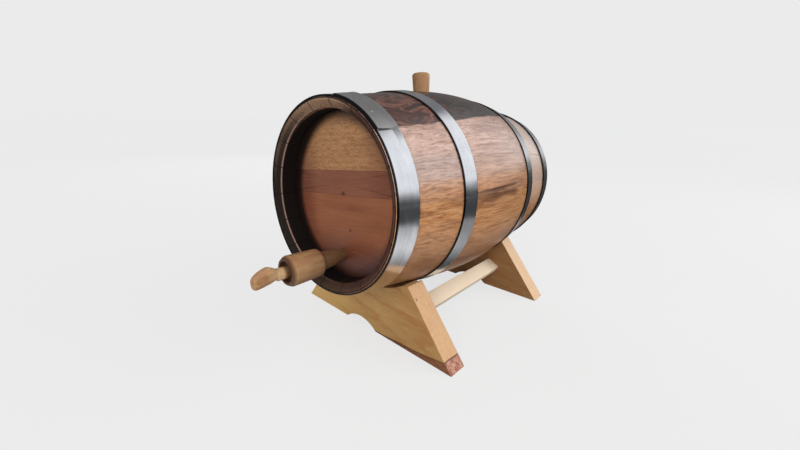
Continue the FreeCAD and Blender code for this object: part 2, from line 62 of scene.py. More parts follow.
# ------------------------------------------------------------------ meshes
def piece(name, verts, faces, at, body, material, replaces=(),
          grain=None, extra=None, sharp=32.0, second=None):
    """Mesh piece from local millimetre points; grain = its wood coordinates in cm."""
    pts = np.asarray(verts, float)
    m = np.array(at)
    world = (pts @ m[:3, :3].T + m[:3, 3]) * MM
    me = bpy.data.meshes.new(name)
    me.from_pydata(world.tolist(), [], [list(map(int, f)) for f in faces])
    if grain is not None:
        a = me.attributes.new("grain", "FLOAT_VECTOR", "POINT")
        a.data.foreach_set("vector", np.asarray(grain, np.float32).ravel())
    for key, value in (extra or {}).items():
        value = np.asarray(value, np.float32)
        kind = "FLOAT_VECTOR" if value.ndim == 2 else "FLOAT"
        a = me.attributes.new(key, kind, "POINT")
        a.data.foreach_set("vector" if value.ndim == 2 else "value", value.ravel())
    bm = bmesh.new()
    bm.from_mesh(me)
    bmesh.ops.recalc_face_normals(bm, faces=bm.faces)
    bm.to_mesh(me)
    bm.free()
    me.shade_smooth()
    me.set_sharp_from_angle(angle=math.radians(sharp))
    me.materials.append(material)
    if second:
        # second = (material, value of each point); a face takes it where all its points are over 0.9
        me.materials.append(second[0])
        for poly in me.polygons:
            if min(second[1][i] for i in poly.vertices) > 0.9:
                poly.material_index = 1
    ob = bpy.data.objects.new(name, me)
    bpy.context.scene.collection.objects.link(ob)
    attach(ob, body)
    if replaces:
        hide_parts(*([replaces] if isinstance(replaces, str) else replaces))
    return ob


def loft(rings, closed_ring=True, cap_start=True, cap_end=True):
    """Faces over equal rings of points; returns (verts, faces)."""
    n = len(rings[0])
    verts = np.concatenate([np.asarray(r, float) for r in rings])
    faces = []
    for i in range(len(rings) - 1):
        for j in range(n if closed_ring else n - 1):
            k = (j + 1) % n
            faces.append((i * n + j, i * n + k, (i + 1) * n + k, (i + 1) * n + j))
    if cap_start:
        faces.append(tuple(range(n - 1, -1, -1)))
    if cap_end:
        faces.append(tuple((len(rings) - 1) * n + j for j in range(n)))
    return verts, faces


def loft_cycle(rings):
    """As loft, with the last ring joined to the first: a torus-like skin."""
    n, m = len(rings[0]), len(rings)
    verts = np.concatenate([np.asarray(r, float) for r in rings])
    faces = []
    for i in range(m):
        for j in range(n):
            k, l = (j + 1) % n, (i + 1) % m
            faces.append((i * n + j, i * n + k, l * n + k, l * n + j))
    return verts, faces


def lathe(profile, n=64, wobble=0.0, seed=1.0):
    """Turned about local Y; profile = (radius, y) from one axis point to the other, or a ring."""
    closed_on_axis = profile[0][0] < 1e-6 and profile[-1][0] < 1e-6
    pts = profile[1:-1] if closed_on_axis else profile
    verts, faces = [], []
    for r, y in pts:
        for j in range(n):
            a = 2 * math.pi * j / n
            rr = r + wobble * math.sin(2 * a + seed + 0.05 * y)
            verts.append((rr * math.cos(a), y, rr * math.sin(a)))
    m = len(pts)
    last = m - 1 if closed_on_axis else m
    for i in range(last):
        k = (i + 1) % m
        for j in range(n):
            l = (j + 1) % n
            faces.append((i * n + j, i * n + l, k * n + l, k * n + j))
    if closed_on_axis:
        verts.append((0, profile[0][1], 0))
        verts.append((0, profile[-1][1], 0))
        for j in range(n):
            l = (j + 1) % n
            faces.append((m * n, l, j))
            faces.append((m * n + 1, (m - 1) * n + j, (m - 1) * n + l))
    return np.array(verts), faces


def rounded(profile, radii, steps=4):
    """Replaces the corners of a (radius, y) profile by small arcs."""
    out = []
    n = len(profile)
    for i, p in enumerate(profile):
        r = radii[i]
        if r <= 0 or i in (0, n - 1):
            out.append(tuple(p))
            continue
        a, b, c = (np.array(profile[i - 1], float), np.array(p, float), np.array(profile[i + 1], float))
        u, v = (a - b) / np.linalg.norm(a - b), (c - b) / np.linalg.norm(c - b)
        for s in range(steps + 1):
            t = s / steps
            q = b + u * r * (1 - t) ** 2 + v * r * t ** 2
            out.append(tuple(q))
    return out


# --------------------------------------------------------------- materials
class Nodes:
    def __init__(self, name):
        self.mat = bpy.data.materials.new(name)
        self.mat.use_nodes = True
        self.t = self.mat.node_tree
        self.t.nodes.clear()
        self.out = self.t.nodes.new("ShaderNodeOutputMaterial")
        self.bsdf = self.t.nodes.new("ShaderNodeBsdfPrincipled")
        self.t.links.new(self.bsdf.outputs[0], self.out.inputs[0])

    def put(self, socket, value):
        if isinstance(value, bpy.types.NodeSocket):
            self.t.links.new(value, socket)
        else:
            socket.default_value = value

    def node(self, kind, **props):
        n = self.t.nodes.new(kind)
        for k, v in props.items():
            setattr(n, k, v)
        return n

    def attr(self, name, vector=False):
        n = self.node("ShaderNodeAttribute", attribute_name=name)
        return n.outputs["Vector"] if vector else n.outputs["Fac"]

    def math(self, op, a, b=0.0, clamp=False):
        n = self.node("ShaderNodeMath", operation=op, use_clamp=clamp)
        self.put(n.inputs[0], a)
        self.put(n.inputs[1], b)
        return n.outputs[0]

    def vmath(self, op, a, b=(0, 0, 0)):
        n = self.node("ShaderNodeVectorMath", operation=op)
        self.put(n.inputs[0], a)
        self.put(n.inputs[1], b)
        return n.outputs[0]

    def split(self, v):
        n = self.node("ShaderNodeSeparateXYZ")
        self.put(n.inputs[0], v)
        return n.outputs

    def join(self, x, y, z):
        n = self.node("ShaderNodeCombineXYZ")
        for i, v in enumerate((x, y, z)):
            self.put(n.inputs[i], v)
        return n.outputs[0]

    def noise(self, vec, scale, detail=2.0, rough=0.5, distortion=0.0):
        n = self.node("ShaderNodeTexNoise")
        self.put(n.inputs["Vector"], vec)
        n.inputs["Scale"].default_value = scale
        n.inputs["Detail"].default_value = detail
        n.inputs["Roughness"].default_value = rough
        n.inputs["Distortion"].default_value = distortion
        return n.outputs[0]

    def remap(self, v, a, b, c=0.0, d=1.0, smooth=False):
        n = self.node("ShaderNodeMapRange", clamp=True)
        if smooth:
            n.interpolation_type = "SMOOTHSTEP"
        self.put(n.inputs[0], v)
        for i, x in enumerate((a, b, c, d)):
            self.put(n.inputs[i + 1], x)
        return n.outputs[0]

    def ramp(self, v, stops):
        n = self.node("ShaderNodeValToRGB")
        self.put(n.inputs[0], v)
        e = n.color_ramp.elements
        while len(e) > 1:
            e.remove(e[-1])
        e[0].position, e[0].color = stops[0][0], (*stops[0][1], 1)
        for p, c in stops[1:]:
            x = e.new(p)
            x.color = (*c, 1)
        return n.outputs[0]

    def mix(self, f, a, b, blend="MIX"):
        n = self.node("ShaderNodeMix", data_type="RGBA", blend_type=blend, clamp_factor=True)
        self.put(n.inputs[0], f)
        self.put(n.inputs[6], a if isinstance(a, bpy.types.NodeSocket) else (*a, 1))
        self.put(n.inputs[7], b if isinstance(b, bpy.types.NodeSocket) else (*b, 1))
        return n.outputs[2]

    def bump(self, height, strength, distance, normal=None):
        n = self.node("ShaderNodeBump")
        n.inputs["Strength"].default_value = strength
        n.inputs["Distance"].default_value = distance
        self.put(n.inputs["Height"], height)
        if normal is not None:
            self.put(n.inputs["Normal"], normal)
        return n.outputs[0]

    def set(self, **values):
        names = {"color": "Base Color", "rough": "Roughness", "metal": "Metallic", "normal": "Normal",
                 "spec": "Specular IOR Level", "coat": "Coat Weight", "coat_rough": "Coat Roughness",
                 "coat_ior": "Coat IOR",
                 "aniso": "Anisotropic", "ior": "IOR", "sheen": "Sheen Weight"}
        for k, v in values.items():
            s = self.bsdf.inputs[names[k]]
            if isinstance(v, bpy.types.NodeSocket):
                self.t.links.new(v, s)
            else:
                s.default_value = (*v, 1) if isinstance(v, tuple) and len(v) == 3 else v
        return self.mat


def srgb(r, g, b):
    def f(c):
        c = c / 255.0
        return c / 12.92 if c <= 0.04045 else ((c + 0.055) / 1.055) ** 2.4
    return (f(r), f(g), f(b))


def wood_parts(m, g, ring_scale=1.0, ring_warp=0.6, fine=1.0):
    """Shared wood structure from the grain coordinates (cm; y runs along the fibres)."""
    x, y, z = m.split(g)
    # broad colour drift along the board
    broad = m.noise(m.vmath("MULTIPLY", g, (0.55, 0.06, 0.55)), 1.0, 3.0, 0.55)
    # growth rings: distance from a far pith, warped along the length
    warp = m.noise(m.vmath("MULTIPLY", g, (0.25, 0.045, 0.25)), 1.0, 2.0, 0.5)
    field = m.math("ADD", m.math("MULTIPLY", x, 0.35), m.math("MULTIPLY", z, 1.0))
    field = m.math("ADD", field, m.math("MULTIPLY", warp, 6.0 * ring_warp))
    rings = m.math("FRACT", m.math("MULTIPLY", field, ring_scale))
    rings = m.remap(rings, 0.0, 1.0)
    # fibres and pores
    fibre = m.noise(m.vmath("MULTIPLY", g, (7.0 * fine, 0.35, 7.0 * fine)), 1.0, 4.0, 0.6)
    pores = m.noise(m.vmath("MULTIPLY", g, (14.0 * fine, 0.95, 14.0 * fine)), 1.0, 1.0, 0.5)
    return dict(x=x, y=y, z=z, broad=broad, rings=rings, fibre=fibre, pores=pores, warp=warp)


def stave_material(name, ends=False):
    m = Nodes(name)
    g = m.attr("grain", True)
    w = wood_parts(m, g, ring_scale=1.25, ring_warp=0.7)
    tone = m.split(m.attr("tone", True))          # x: darker stave, y: paler stave
    where = m.split(m.attr("place", True))        # x: angle in degrees / 100, y: position in dm, z: joint distance mm
    ang, pos, joint = where[0], where[1], where[2]
    ring_fine = m.noise(m.vmath("MULTIPLY", g, (5.0, 0.5, 5.0)), 1.0, 3.0, 0.6)
    if ends:
        kind = m.attr("ends")
        # end grain: pale brown where it is worn at the crown, nearly black elsewhere
        worn_and_lit = m.math("MULTIPLY", m.remap(ang, 0.50, 0.74, 0.0, 1.0, True), m.remap(ang, 0.95, 1.45, 1.0, 0.22, True))
        worn_and_lit = m.math("MULTIPLY", worn_and_lit, m.remap(ang, 1.45, 1.75, 1.0, 0.0, True))
        pale = m.ramp(ring_fine, [(0.3, srgb(100, 76, 60)), (0.55, srgb(158, 126, 102)), (0.75, srgb(124, 94, 74))])
        black = m.ramp(ring_fine, [(0.3, srgb(16, 13, 12)), (0.6, srgb(42, 32, 28)), (0.8, srgb(27, 21, 19))])
        c = m.mix(worn_and_lit, black, pale)
        low = m.math("MULTIPLY", m.remap(ang, -0.50, -0.75, 0.0, 1.0, True), m.remap(ang, -1.35, -1.1, 0.0, 1.0, True))
        c = m.mix(m.math("MULTIPLY", low, 0.7), c, srgb(82, 60, 46))
        # on the right the ends turn a plain brown
        right = m.remap(m.math("ABSOLUTE", m.math("SUBTRACT", ang, -0.05)), 0.50, 0.85, 1.0, 0.0, True)
        left = m.remap(m.math("ABSOLUTE", m.math("SUBTRACT", ang, -0.05)), 0.75, 1.30, 0.0, 1.0, True)
        c = m.mix(m.math("MULTIPLY", right, 0.8), c, srgb(84, 56, 47))
        # painted shade: the bevel is darkened except at the crown, the foot and the right, where it keeps the colour
        # of the ends
        lit = m.math("MAXIMUM", m.math("MULTIPLY", worn_and_lit, 0.92), m.math("MULTIPLY", low, 0.80))
        lit = m.math("MAXIMUM", lit, m.math("MULTIPLY", right, 0.7))
        wall = m.attr("depth")
        c2 = m.mix(lit, srgb(32, 25, 23), c)
        c = m.mix(m.remap(kind, 1.45, 1.9), c, c2)
        # painted shade: the wall behind the bevel turns black deeper into the recess, less deep at the crown
        deep = m.math("SUBTRACT", wall, m.math("MULTIPLY", worn_and_lit, 0.45))
        c = m.mix(m.remap(deep, 0.50, 0.72, 0.0, 1.0, True), c, srgb(24, 17, 15))
        # painted highlight along the arris between the bevel and the wall behind it, on the left
        arris = m.math("MULTIPLY", m.remap(wall, 0.45, 0.52, 0.0, 1.0), m.remap(wall, 0.56, 0.64, 1.0, 0.0))
        c = m.mix(m.math("MULTIPLY", m.math("MULTIPLY", arris, 0.78), left), c, srgb(158, 128, 116))
        c = m.mix(m.math("MULTIPLY", m.remap(kind, 2.0, 3.0), 0.8), c, srgb(84, 48, 37))
        c = m.mix(m.remap(joint, 0.15, 0.9, 0.88, 0.0), c, srgb(10, 8, 7))
        # painted shadow: black under the edge of the hoop
        c = m.mix(m.remap(kind, 0.955, 0.995, 0.92, 0.0), c, srgb(12, 10, 9))
        m.set(color=c, rough=m.remap(ring_fine, 0.3, 0.7, 0.78, 0.62), spec=0.22,
              normal=m.bump(ring_fine, 0.5, 0.0003))
        return m.mat
    drift = m.noise(m.vmath("MULTIPLY", g, (1.1, 0.055, 1.1)), 1.0, 3.0, 0.55)
    base = m.ramp(drift, [(0.30, srgb(144, 92, 50)), (0.44, srgb(176, 122, 75)), (0.52, srgb(192, 138, 90)),
                          (0.58, srgb(186, 128, 74)), (0.72, srgb(162, 106, 60))])
    pink = m.ramp(drift, [(0.30, srgb(150, 109, 90)), (0.46, srgb(182, 142, 122)), (0.54, srgb(197, 160, 145)),
                          (0.70, srgb(166, 125, 109))])
    # painted sheen: a pale pink band on the upper side, where the varnish reflects the window; staves given a pale
    # tone take it too
    band = m.math("MULTIPLY", m.remap(ang, 0.00, 0.26, 0.0, 1.0, True), m.remap(ang, 1.3, 1.6, 1.0, 0.35, True))
    band = m.math("MAXIMUM", band, tone[1])
    base = m.mix(band, base, pink)
    # painted reflection: a grey patch on the staves above the middle, between the front hoops
    patch = m.math("MULTIPLY", m.remap(ang, 0.07, 0.12, 0.0, 1.0, True), m.remap(ang, 0.20, 0.27, 1.0, 0.0, True))
    patch = m.math("MULTIPLY", patch, m.remap(pos, 0.86, 1.25, 1.0, 0.25, True))
    base = m.mix(m.math("MULTIPLY", patch, 0.62), base, srgb(158, 138, 132))
    late = m.remap(w["rings"], 0.60, 0.98, 0.0, 1.0, True)
    base = m.mix(m.math("MULTIPLY", late, 0.18), base, srgb(124, 76, 48))
    # fine drawn-out grain lines, broken along their length
    lines = m.noise(m.vmath("MULTIPLY", g, (6.0, 0.20, 6.0)), 1.0, 4.0, 0.62, 0.15)
    base = m.mix(m.remap(lines, 0.38, 0.48, 0.50, 0.0, True), base, srgb(104, 62, 40))
    base = m.mix(m.remap(lines, 0.54, 0.68, 0.0, 0.30, True), base, srgb(214, 180, 152))
    f = m.remap(w["fibre"], 0.30, 0.72)
    base = m.mix(m.remap(f, 0.0, 0.50, 0.26, 0.0), base, srgb(112, 68, 44))
    flecks = m.noise(m.vmath("MULTIPLY", g, (16.0, 1.6, 16.0)), 1.0, 2.0, 0.6)
    p = m.remap(flecks, 0.60, 0.70)
    # brown mottling under the dark zone, and a painted sheen behind the rear quarter hoop on the upper side
    spots = m.noise(m.vmath("MULTIPLY", g, (3.0, 0.9, 3.0)), 1.0, 3.0, 0.6, 0.8)
    zone = m.math("MULTIPLY", m.remap(ang, 0.22, 0.32, 0.0, 1.0, True), m.remap(ang, 0.46, 0.52, 1.0, 0.0, True))
    base = m.mix(m.math("MULTIPLY", m.remap(spots, 0.53, 0.64, 0.0, 0.55, True), zone), base, srgb(112, 74, 56))
    base = m.mix(m.math("MULTIPLY", m.remap(pos, 2.48, 2.58, 0.0, 0.55, True), m.remap(ang, -0.25, 0.05, 0.0, 1.0, True)),
                 base, srgb(224, 202, 188))
    base = m.mix(m.math("MULTIPLY", p, 0.34), base, srgb(92, 54, 36))
    # darker above a line that climbs along the cask, on the top staves
    wav = m.noise(m.vmath("MULTIPLY", g, (0.5, 0.25, 0.5)), 1.0, 2.0, 0.5)
    line = m.math("ADD", 0.400, m.math("MULTIPLY", m.math("POWER", m.math("ABSOLUTE", pos), 2.6), 0.0105))
    line = m.math("ADD", line, m.math("MULTIPLY", m.math("SUBTRACT", wav, 0.5), 0.030))
    over = m.math("SUBTRACT", ang, line)
    upper = m.math("MULTIPLY", m.remap(over, 0.0, 0.010, 0.0, 1.0, True),
                   m.remap(ang, 1.16, 1.24, 1.0, 0.0, True))
    swirl = m.noise(m.vmath("MULTIPLY", g, (0.60, 0.24, 0.60)), 1.0, 3.0, 0.5, 1.2)
    dark = m.ramp(swirl, [(0.34, srgb(34, 19, 15)), (0.43, srgb(64, 35, 27)), (0.49, srgb(122, 80, 64)),
                          (0.53, srgb(96, 56, 44)), (0.60, srgb(46, 26, 21)), (0.70, srgb(84, 50, 40))])
    crown = m.math("MULTIPLY", m.remap(ang, 0.60, 0.78, 0.0, 1.0, True), 0.70)
    crown = m.math("MAXIMUM", crown, m.math("MULTIPLY", m.remap(pos, 0.92, 1.22, 0.0, 1.0, True), 0.86))
    grey = m.ramp(m.noise(m.vmath("MULTIPLY", g, (1.3, 0.26, 1.3)), 1.0, 3.0, 0.55, 1.0),
                  [(0.36, srgb(8, 7, 8)), (0.46, srgb(22, 19, 19)), (0.52, srgb(70, 60, 55)), (0.57, srgb(30, 26, 25)),
                   (0.66, srgb(12, 11, 11))])
    dark = m.mix(crown, dark, grey)
    base = m.mix(upper, base, dark)
    # dark streak along one joint on the side
    sw = m.noise(m.vmath("MULTIPLY", g, (0.9, 0.30, 0.9)), 1.0, 3.0, 0.6)
    d = m.math("ABSOLUTE", m.math("SUBTRACT", ang, m.math("ADD", -0.018, m.math("MULTIPLY", m.math("SUBTRACT", sw, 0.5), 0.08))))
    across = m.remap(d, 0.0, 0.050, 1.0, 0.0, True)
    along = m.math("MULTIPLY", m.remap(pos, 0.60, 1.45, 0.0, 1.0, True), m.remap(pos, 1.84, 2.05, 1.0, 0.0, True))
    base = m.mix(m.math("MULTIPLY", m.math("MULTIPLY", across, along), 0.84), base, srgb(74, 36, 19))
    rise = m.math("ADD", m.math("MULTIPLY", m.math("SUBTRACT", pos, 0.9), 0.022), 0.004)
    thin = m.remap(m.math("ABSOLUTE", m.math("SUBTRACT", ang, rise)), 0.003, 0.010, 1.0, 0.0, True)
    base = m.mix(m.math("MULTIPLY", m.math("MULTIPLY", thin, along), 0.75), base, srgb(56, 28, 17))
    # painted shade: lower staves are darker and redder
    under = m.math("MULTIPLY", m.remap(ang, -0.16, -0.55, 0.0, 0.70, True), m.remap(ang, -1.80, -1.35, 0.0, 1.0, True))
    base = m.mix(under, base, srgb(116, 66, 32))
    base = m.mix(m.remap(joint, 0.08, 0.45, 0.22, 0.0), base, srgb(64, 36, 24))
    base = m.mix(m.remap(tone[0], 0.0, 1.0), base, srgb(104, 62, 38))
    rough = m.math("ADD", m.remap(w["fibre"], 0.3, 0.75, 0.46, 0.36), m.math("MULTIPLY", p, 0.15))
    h = m.math("SUBTRACT", m.math("MULTIPLY", lines, 0.6), m.math("MULTIPLY", p, 0.5))
    m.set(color=base, rough=rough, normal=m.bump(h, 0.5, 0.0002), spec=0.6, coat_rough=0.25, coat_ior=1.75,
          coat=m.math("MULTIPLY", m.math("MAXIMUM", m.remap(ang, -0.16, 0.14, 0.22, 1.0, True),
                                         m.remap(ang, -1.80, -1.50, 1.0, 0.22, True)), m.math("SUBTRACT", 1.0, m.math("MULTIPLY", upper, 0.62))))
    return m.mat


def head_material():
    m = Nodes("cask_head_wood")
    g = m.attr("grain", True)
    w = wood_parts(m, g, ring_scale=0.85, ring_warp=0.5, fine=0.9)
    kind = m.attr("board")                        # 0 upper, 1 middle, 2 lower
    place = m.split(m.attr("place", True))        # head x and z in cm
    # curly figure of the upper board
    curl = m.noise(m.vmath("MULTIPLY", g, (1.9, 0.60, 1.9)), 1.0, 2.0, 0.5, 2.2)
    curl = m.math("ADD", curl, m.math("MULTIPLY", m.math("SINE", m.math("MULTIPLY", m.math("ADD", w["x"],
                  m.math("MULTIPLY", curl, 1.6)), 11.0)), 0.040))
    up = m.ramp(curl, [(0.34, srgb(148, 105, 69)), (0.45, srgb(158, 114, 76)), (0.53, srgb(175, 131, 89)),
                       (0.61, srgb(158, 114, 76)), (0.72, srgb(168, 124, 84))])
    up = m.mix(m.remap(m.noise(m.vmath("MULTIPLY", g, (7.0, 1.0, 7.0)), 1.0, 3.0, 0.6), 0.54, 0.70, 0.0, 0.34), up,
               srgb(96, 58, 38))
    # painted shade: the upper board darkens and reddens towards its left and right ends
    redden = m.math("MAXIMUM", m.math("MULTIPLY", m.remap(place[0], -2.4, -6.4, 0.0, 1.0, True), 0.62),
                    m.math("MULTIPLY", m.remap(place[0], 2.6, 6.6, 0.0, 1.0, True), 0.55))
    up = m.mix(redden, up, srgb(104, 56, 40))
    mid = m.ramp(w["broad"], [(0.3, srgb(118, 72, 54)), (0.5, srgb(130, 82, 62)), (0.72, srgb(124, 76, 57))])
    low = m.ramp(w["broad"], [(0.3, srgb(128, 76, 50)), (0.5, srgb(146, 90, 61)), (0.72, srgb(134, 81, 54))])
    # painted shade: the lower board darkens towards the bottom of the head and towards the left, the middle board
    # towards both sides
    red = m.remap(place[1], -2.4, -7.2, 0.0, 0.88, True)
    low = m.mix(red, low, srgb(76, 34, 25))
    side = m.remap(place[0], -3.6, -6.4, 0.0, 0.7, True)
    low = m.mix(side, low, srgb(98, 47, 33))
    mid = m.mix(m.math("MAXIMUM", side, m.remap(place[0], 3.0, 6.4, 0.0, 0.5, True)), mid, srgb(98, 52, 38))
    base = m.mix(m.remap(kind, 0.0, 1.0), up, mid)
    base = m.mix(m.remap(kind, 1.0, 2.0), base, low)
    late = m.remap(w["rings"], 0.6, 0.98, 0.0, 1.0, True)
    base = m.mix(m.math("MULTIPLY", late, 0.12), base, srgb(104, 58, 38))
    f = m.remap(w["fibre"], 0.3, 0.72)
    base = m.mix(m.remap(f, 0.0, 0.5, 0.18, 0.0), base, srgb(92, 50, 34))
    base = m.mix(m.remap(f, 0.65, 1.0, 0.0, 0.14), base, srgb(190, 136, 98))
    p = m.remap(w["pores"], 0.64, 0.74)
    base = m.mix(m.math("MULTIPLY", p, 0.28), base, srgb(70, 38, 26))
    # two small knots
    for kx, kz, kr in ((0.30, 0.35, 0.20), (1.1, -3.5, 0.14)):
        dx = m.math("MULTIPLY", m.math("SUBTRACT", place[0], kx), 0.75)
        dz = m.math("SUBTRACT", place[1], kz)
        d = m.math("SQRT", m.math("ADD", m.math("MULTIPLY", dx, dx), m.math("MULTIPLY", dz, dz)))
        base = m.mix(m.remap(d, kr * 0.5, kr * 1.5, 0.75, 0.0, True), base, srgb(52, 26, 20))
    # painted shade near the rim of the head; the painted shadow over its left part follows below
    rad = m.math("SQRT", m.math("ADD", m.math("MULTIPLY", place[0], place[0]), m.math("MULTIPLY", place[1], place[1])))
    base = m.mix(m.remap(rad, 7.0, 8.7, 0.0, 0.74, True), base, srgb(36, 18, 15))
    # painted highlight along the lower arris of the upper board; the other joints are darkened
    edge = m.attr("edge")
    base = m.mix(m.math("MULTIPLY", m.remap(edge, 0.3, 1.0), 0.50), base, srgb(182, 136, 98))
    base = m.mix(m.math("MULTIPLY", m.remap(edge, -0.3, -1.0), 0.10), base, srgb(70, 36, 24))
    # painted shadow of the rim over the left part of the head
    lx = m.math("SUBTRACT", place[0], 1.5)
    rim_shadow_dist = m.math("SQRT", m.math("ADD", m.math("MULTIPLY", lx, lx), m.math("MULTIPLY", place[1], place[1])))
    base = m.mix(m.remap(rim_shadow_dist, 8.1, 9.2, 0.0, 0.95, True), base, srgb(18, 11, 10))
    rough = m.remap(w["fibre"], 0.3, 0.75, 0.46, 0.34)
    h = m.math("SUBTRACT", m.math("MULTIPLY", w["fibre"], 0.6), m.math("MULTIPLY", p, 0.8))
    h = m.math("ADD", h, m.math("MULTIPLY", curl, 0.2))
    m.set(color=base, rough=rough, normal=m.bump(h, 0.5, 0.0002), spec=0.4, coat=0.1, coat_rough=0.35)
    return m.mat


def steel_material(name="hoop_steel", dull=0.0):
    m = Nodes(name)
    v = m.attr("strip", True)                     # x: along the strip in cm, y: across in cm
    s = m.split(v)
    roll = m.noise(m.vmath("MULTIPLY", v, (0.22, 7.0, 1.0)), 1.0, 3.0, 0.55)
    blotch = m.noise(m.vmath("MULTIPLY", v, (0.55, 0.7, 1.0)), 1.0, 3.0, 0.55)
    fine = m.noise(m.vmath("MULTIPLY", v, (2.2, 3.2, 1.0)), 1.0, 4.0, 0.65)
    c = m.mix(m.remap(blotch, 0.3, 0.7), srgb(214, 216, 222), srgb(232, 233, 236))
    c = m.mix(m.remap(roll, 0.52, 0.75, 0.0, 0.30), c, srgb(176, 178, 186))
    c = m.mix(m.remap(fine, 0.62, 0.80, 0.0, 0.35), c, srgb(150, 142, 134))
    if dull:
        c = m.mix(dull, c, srgb(150, 150, 150))
        c = m.mix(m.remap(fine, 0.40, 0.58, 0.0, 0.80, True), c, srgb(216, 210, 202))
    # painted shade along both edges of the strip
    edge = m.remap(m.math("ABSOLUTE", s[1]), m.attr("half"), m.math("SUBTRACT", m.attr("half"), 0.07), 1.0, 0.0)
    c = m.mix(m.math("MULTIPLY", edge, 0.75), c, srgb(58, 54, 52))
    # painted shadow: black along the edge that faces the near end of the cask, where the strip stands off the staves
    lead = m.math("ADD", m.attr("lead"), m.attr("half"))
    c = m.mix(m.remap(lead, 0.11, 0.19, 0.94, 0.0, True), c, srgb(22, 19, 18))
    rough = m.math("ADD", m.remap(blotch, 0.3, 0.7, 0.15 + 0.60 * dull, 0.21 + 0.60 * dull),
                   m.math("MULTIPLY", fine, 0.05))
    h = m.math("ADD", m.math("MULTIPLY", roll, 0.12), m.math("MULTIPLY", blotch, 1.0))
    m.set(color=c, rough=rough, metal=1.0, normal=m.bump(h, 0.16, 0.0004), aniso=0.2)
    return m.mat


def turned_material():
    m = Nodes("turned_pale_wood")
    g = m.attr("grain", True)
    w = wood_parts(m, g, ring_scale=1.6, ring_warp=0.5, fine=1.1)
    dark = m.attr("dark")
    base = m.ramp(w["broad"], [(0.28, srgb(150, 108, 70)), (0.5, srgb(186, 144, 102)), (0.74, srgb(168, 124, 84))])
    late = m.remap(w["rings"], 0.5, 0.98, 0.0, 1.0, True)
    base = m.mix(m.math("MULTIPLY", late, 0.30), base, srgb(140, 94, 58))
    f = m.remap(w["fibre"], 0.3, 0.72)
    base = m.mix(m.remap(f, 0.0, 0.5, 0.22, 0.0), base, srgb(126, 82, 50))
    base = m.mix(m.remap(f, 0.62, 1.0, 0.0, 0.22), base, srgb(212, 178, 142))
    cloud = m.noise(m.vmath("MULTIPLY", g, (1.1, 0.55, 1.1)), 1.0, 2.0, 0.5, 0.5)
    base = m.mix(m.remap(cloud, 0.48, 0.66, 0.0, 0.42, True), base, srgb(166, 120, 96))
    base = m.mix(m.remap(cloud, 0.50, 0.34, 0.0, 0.38, True), base, srgb(190, 156, 108))
    p = m.remap(w["pores"], 0.64, 0.74)
    base = m.mix(m.math("MULTIPLY", p, 0.24), base, srgb(84, 52, 30))
    # painted shade where the dark value is positive, a painted highlight where it is negative
    base = m.mix(dark, base, srgb(64, 34, 20))
    base = m.mix(m.remap(dark, 0.0, -1.0), base, srgb(236, 206, 168))
    h = m.math("SUBTRACT", m.math("MULTIPLY", w["fibre"], 0.5), m.math("MULTIPLY", p, 0.6))
    m.set(color=base, rough=m.remap(w["fibre"], 0.3, 0.75, 0.60, 0.46), normal=m.bump(h, 0.5, 0.0002), spec=0.45)
    return m.mat


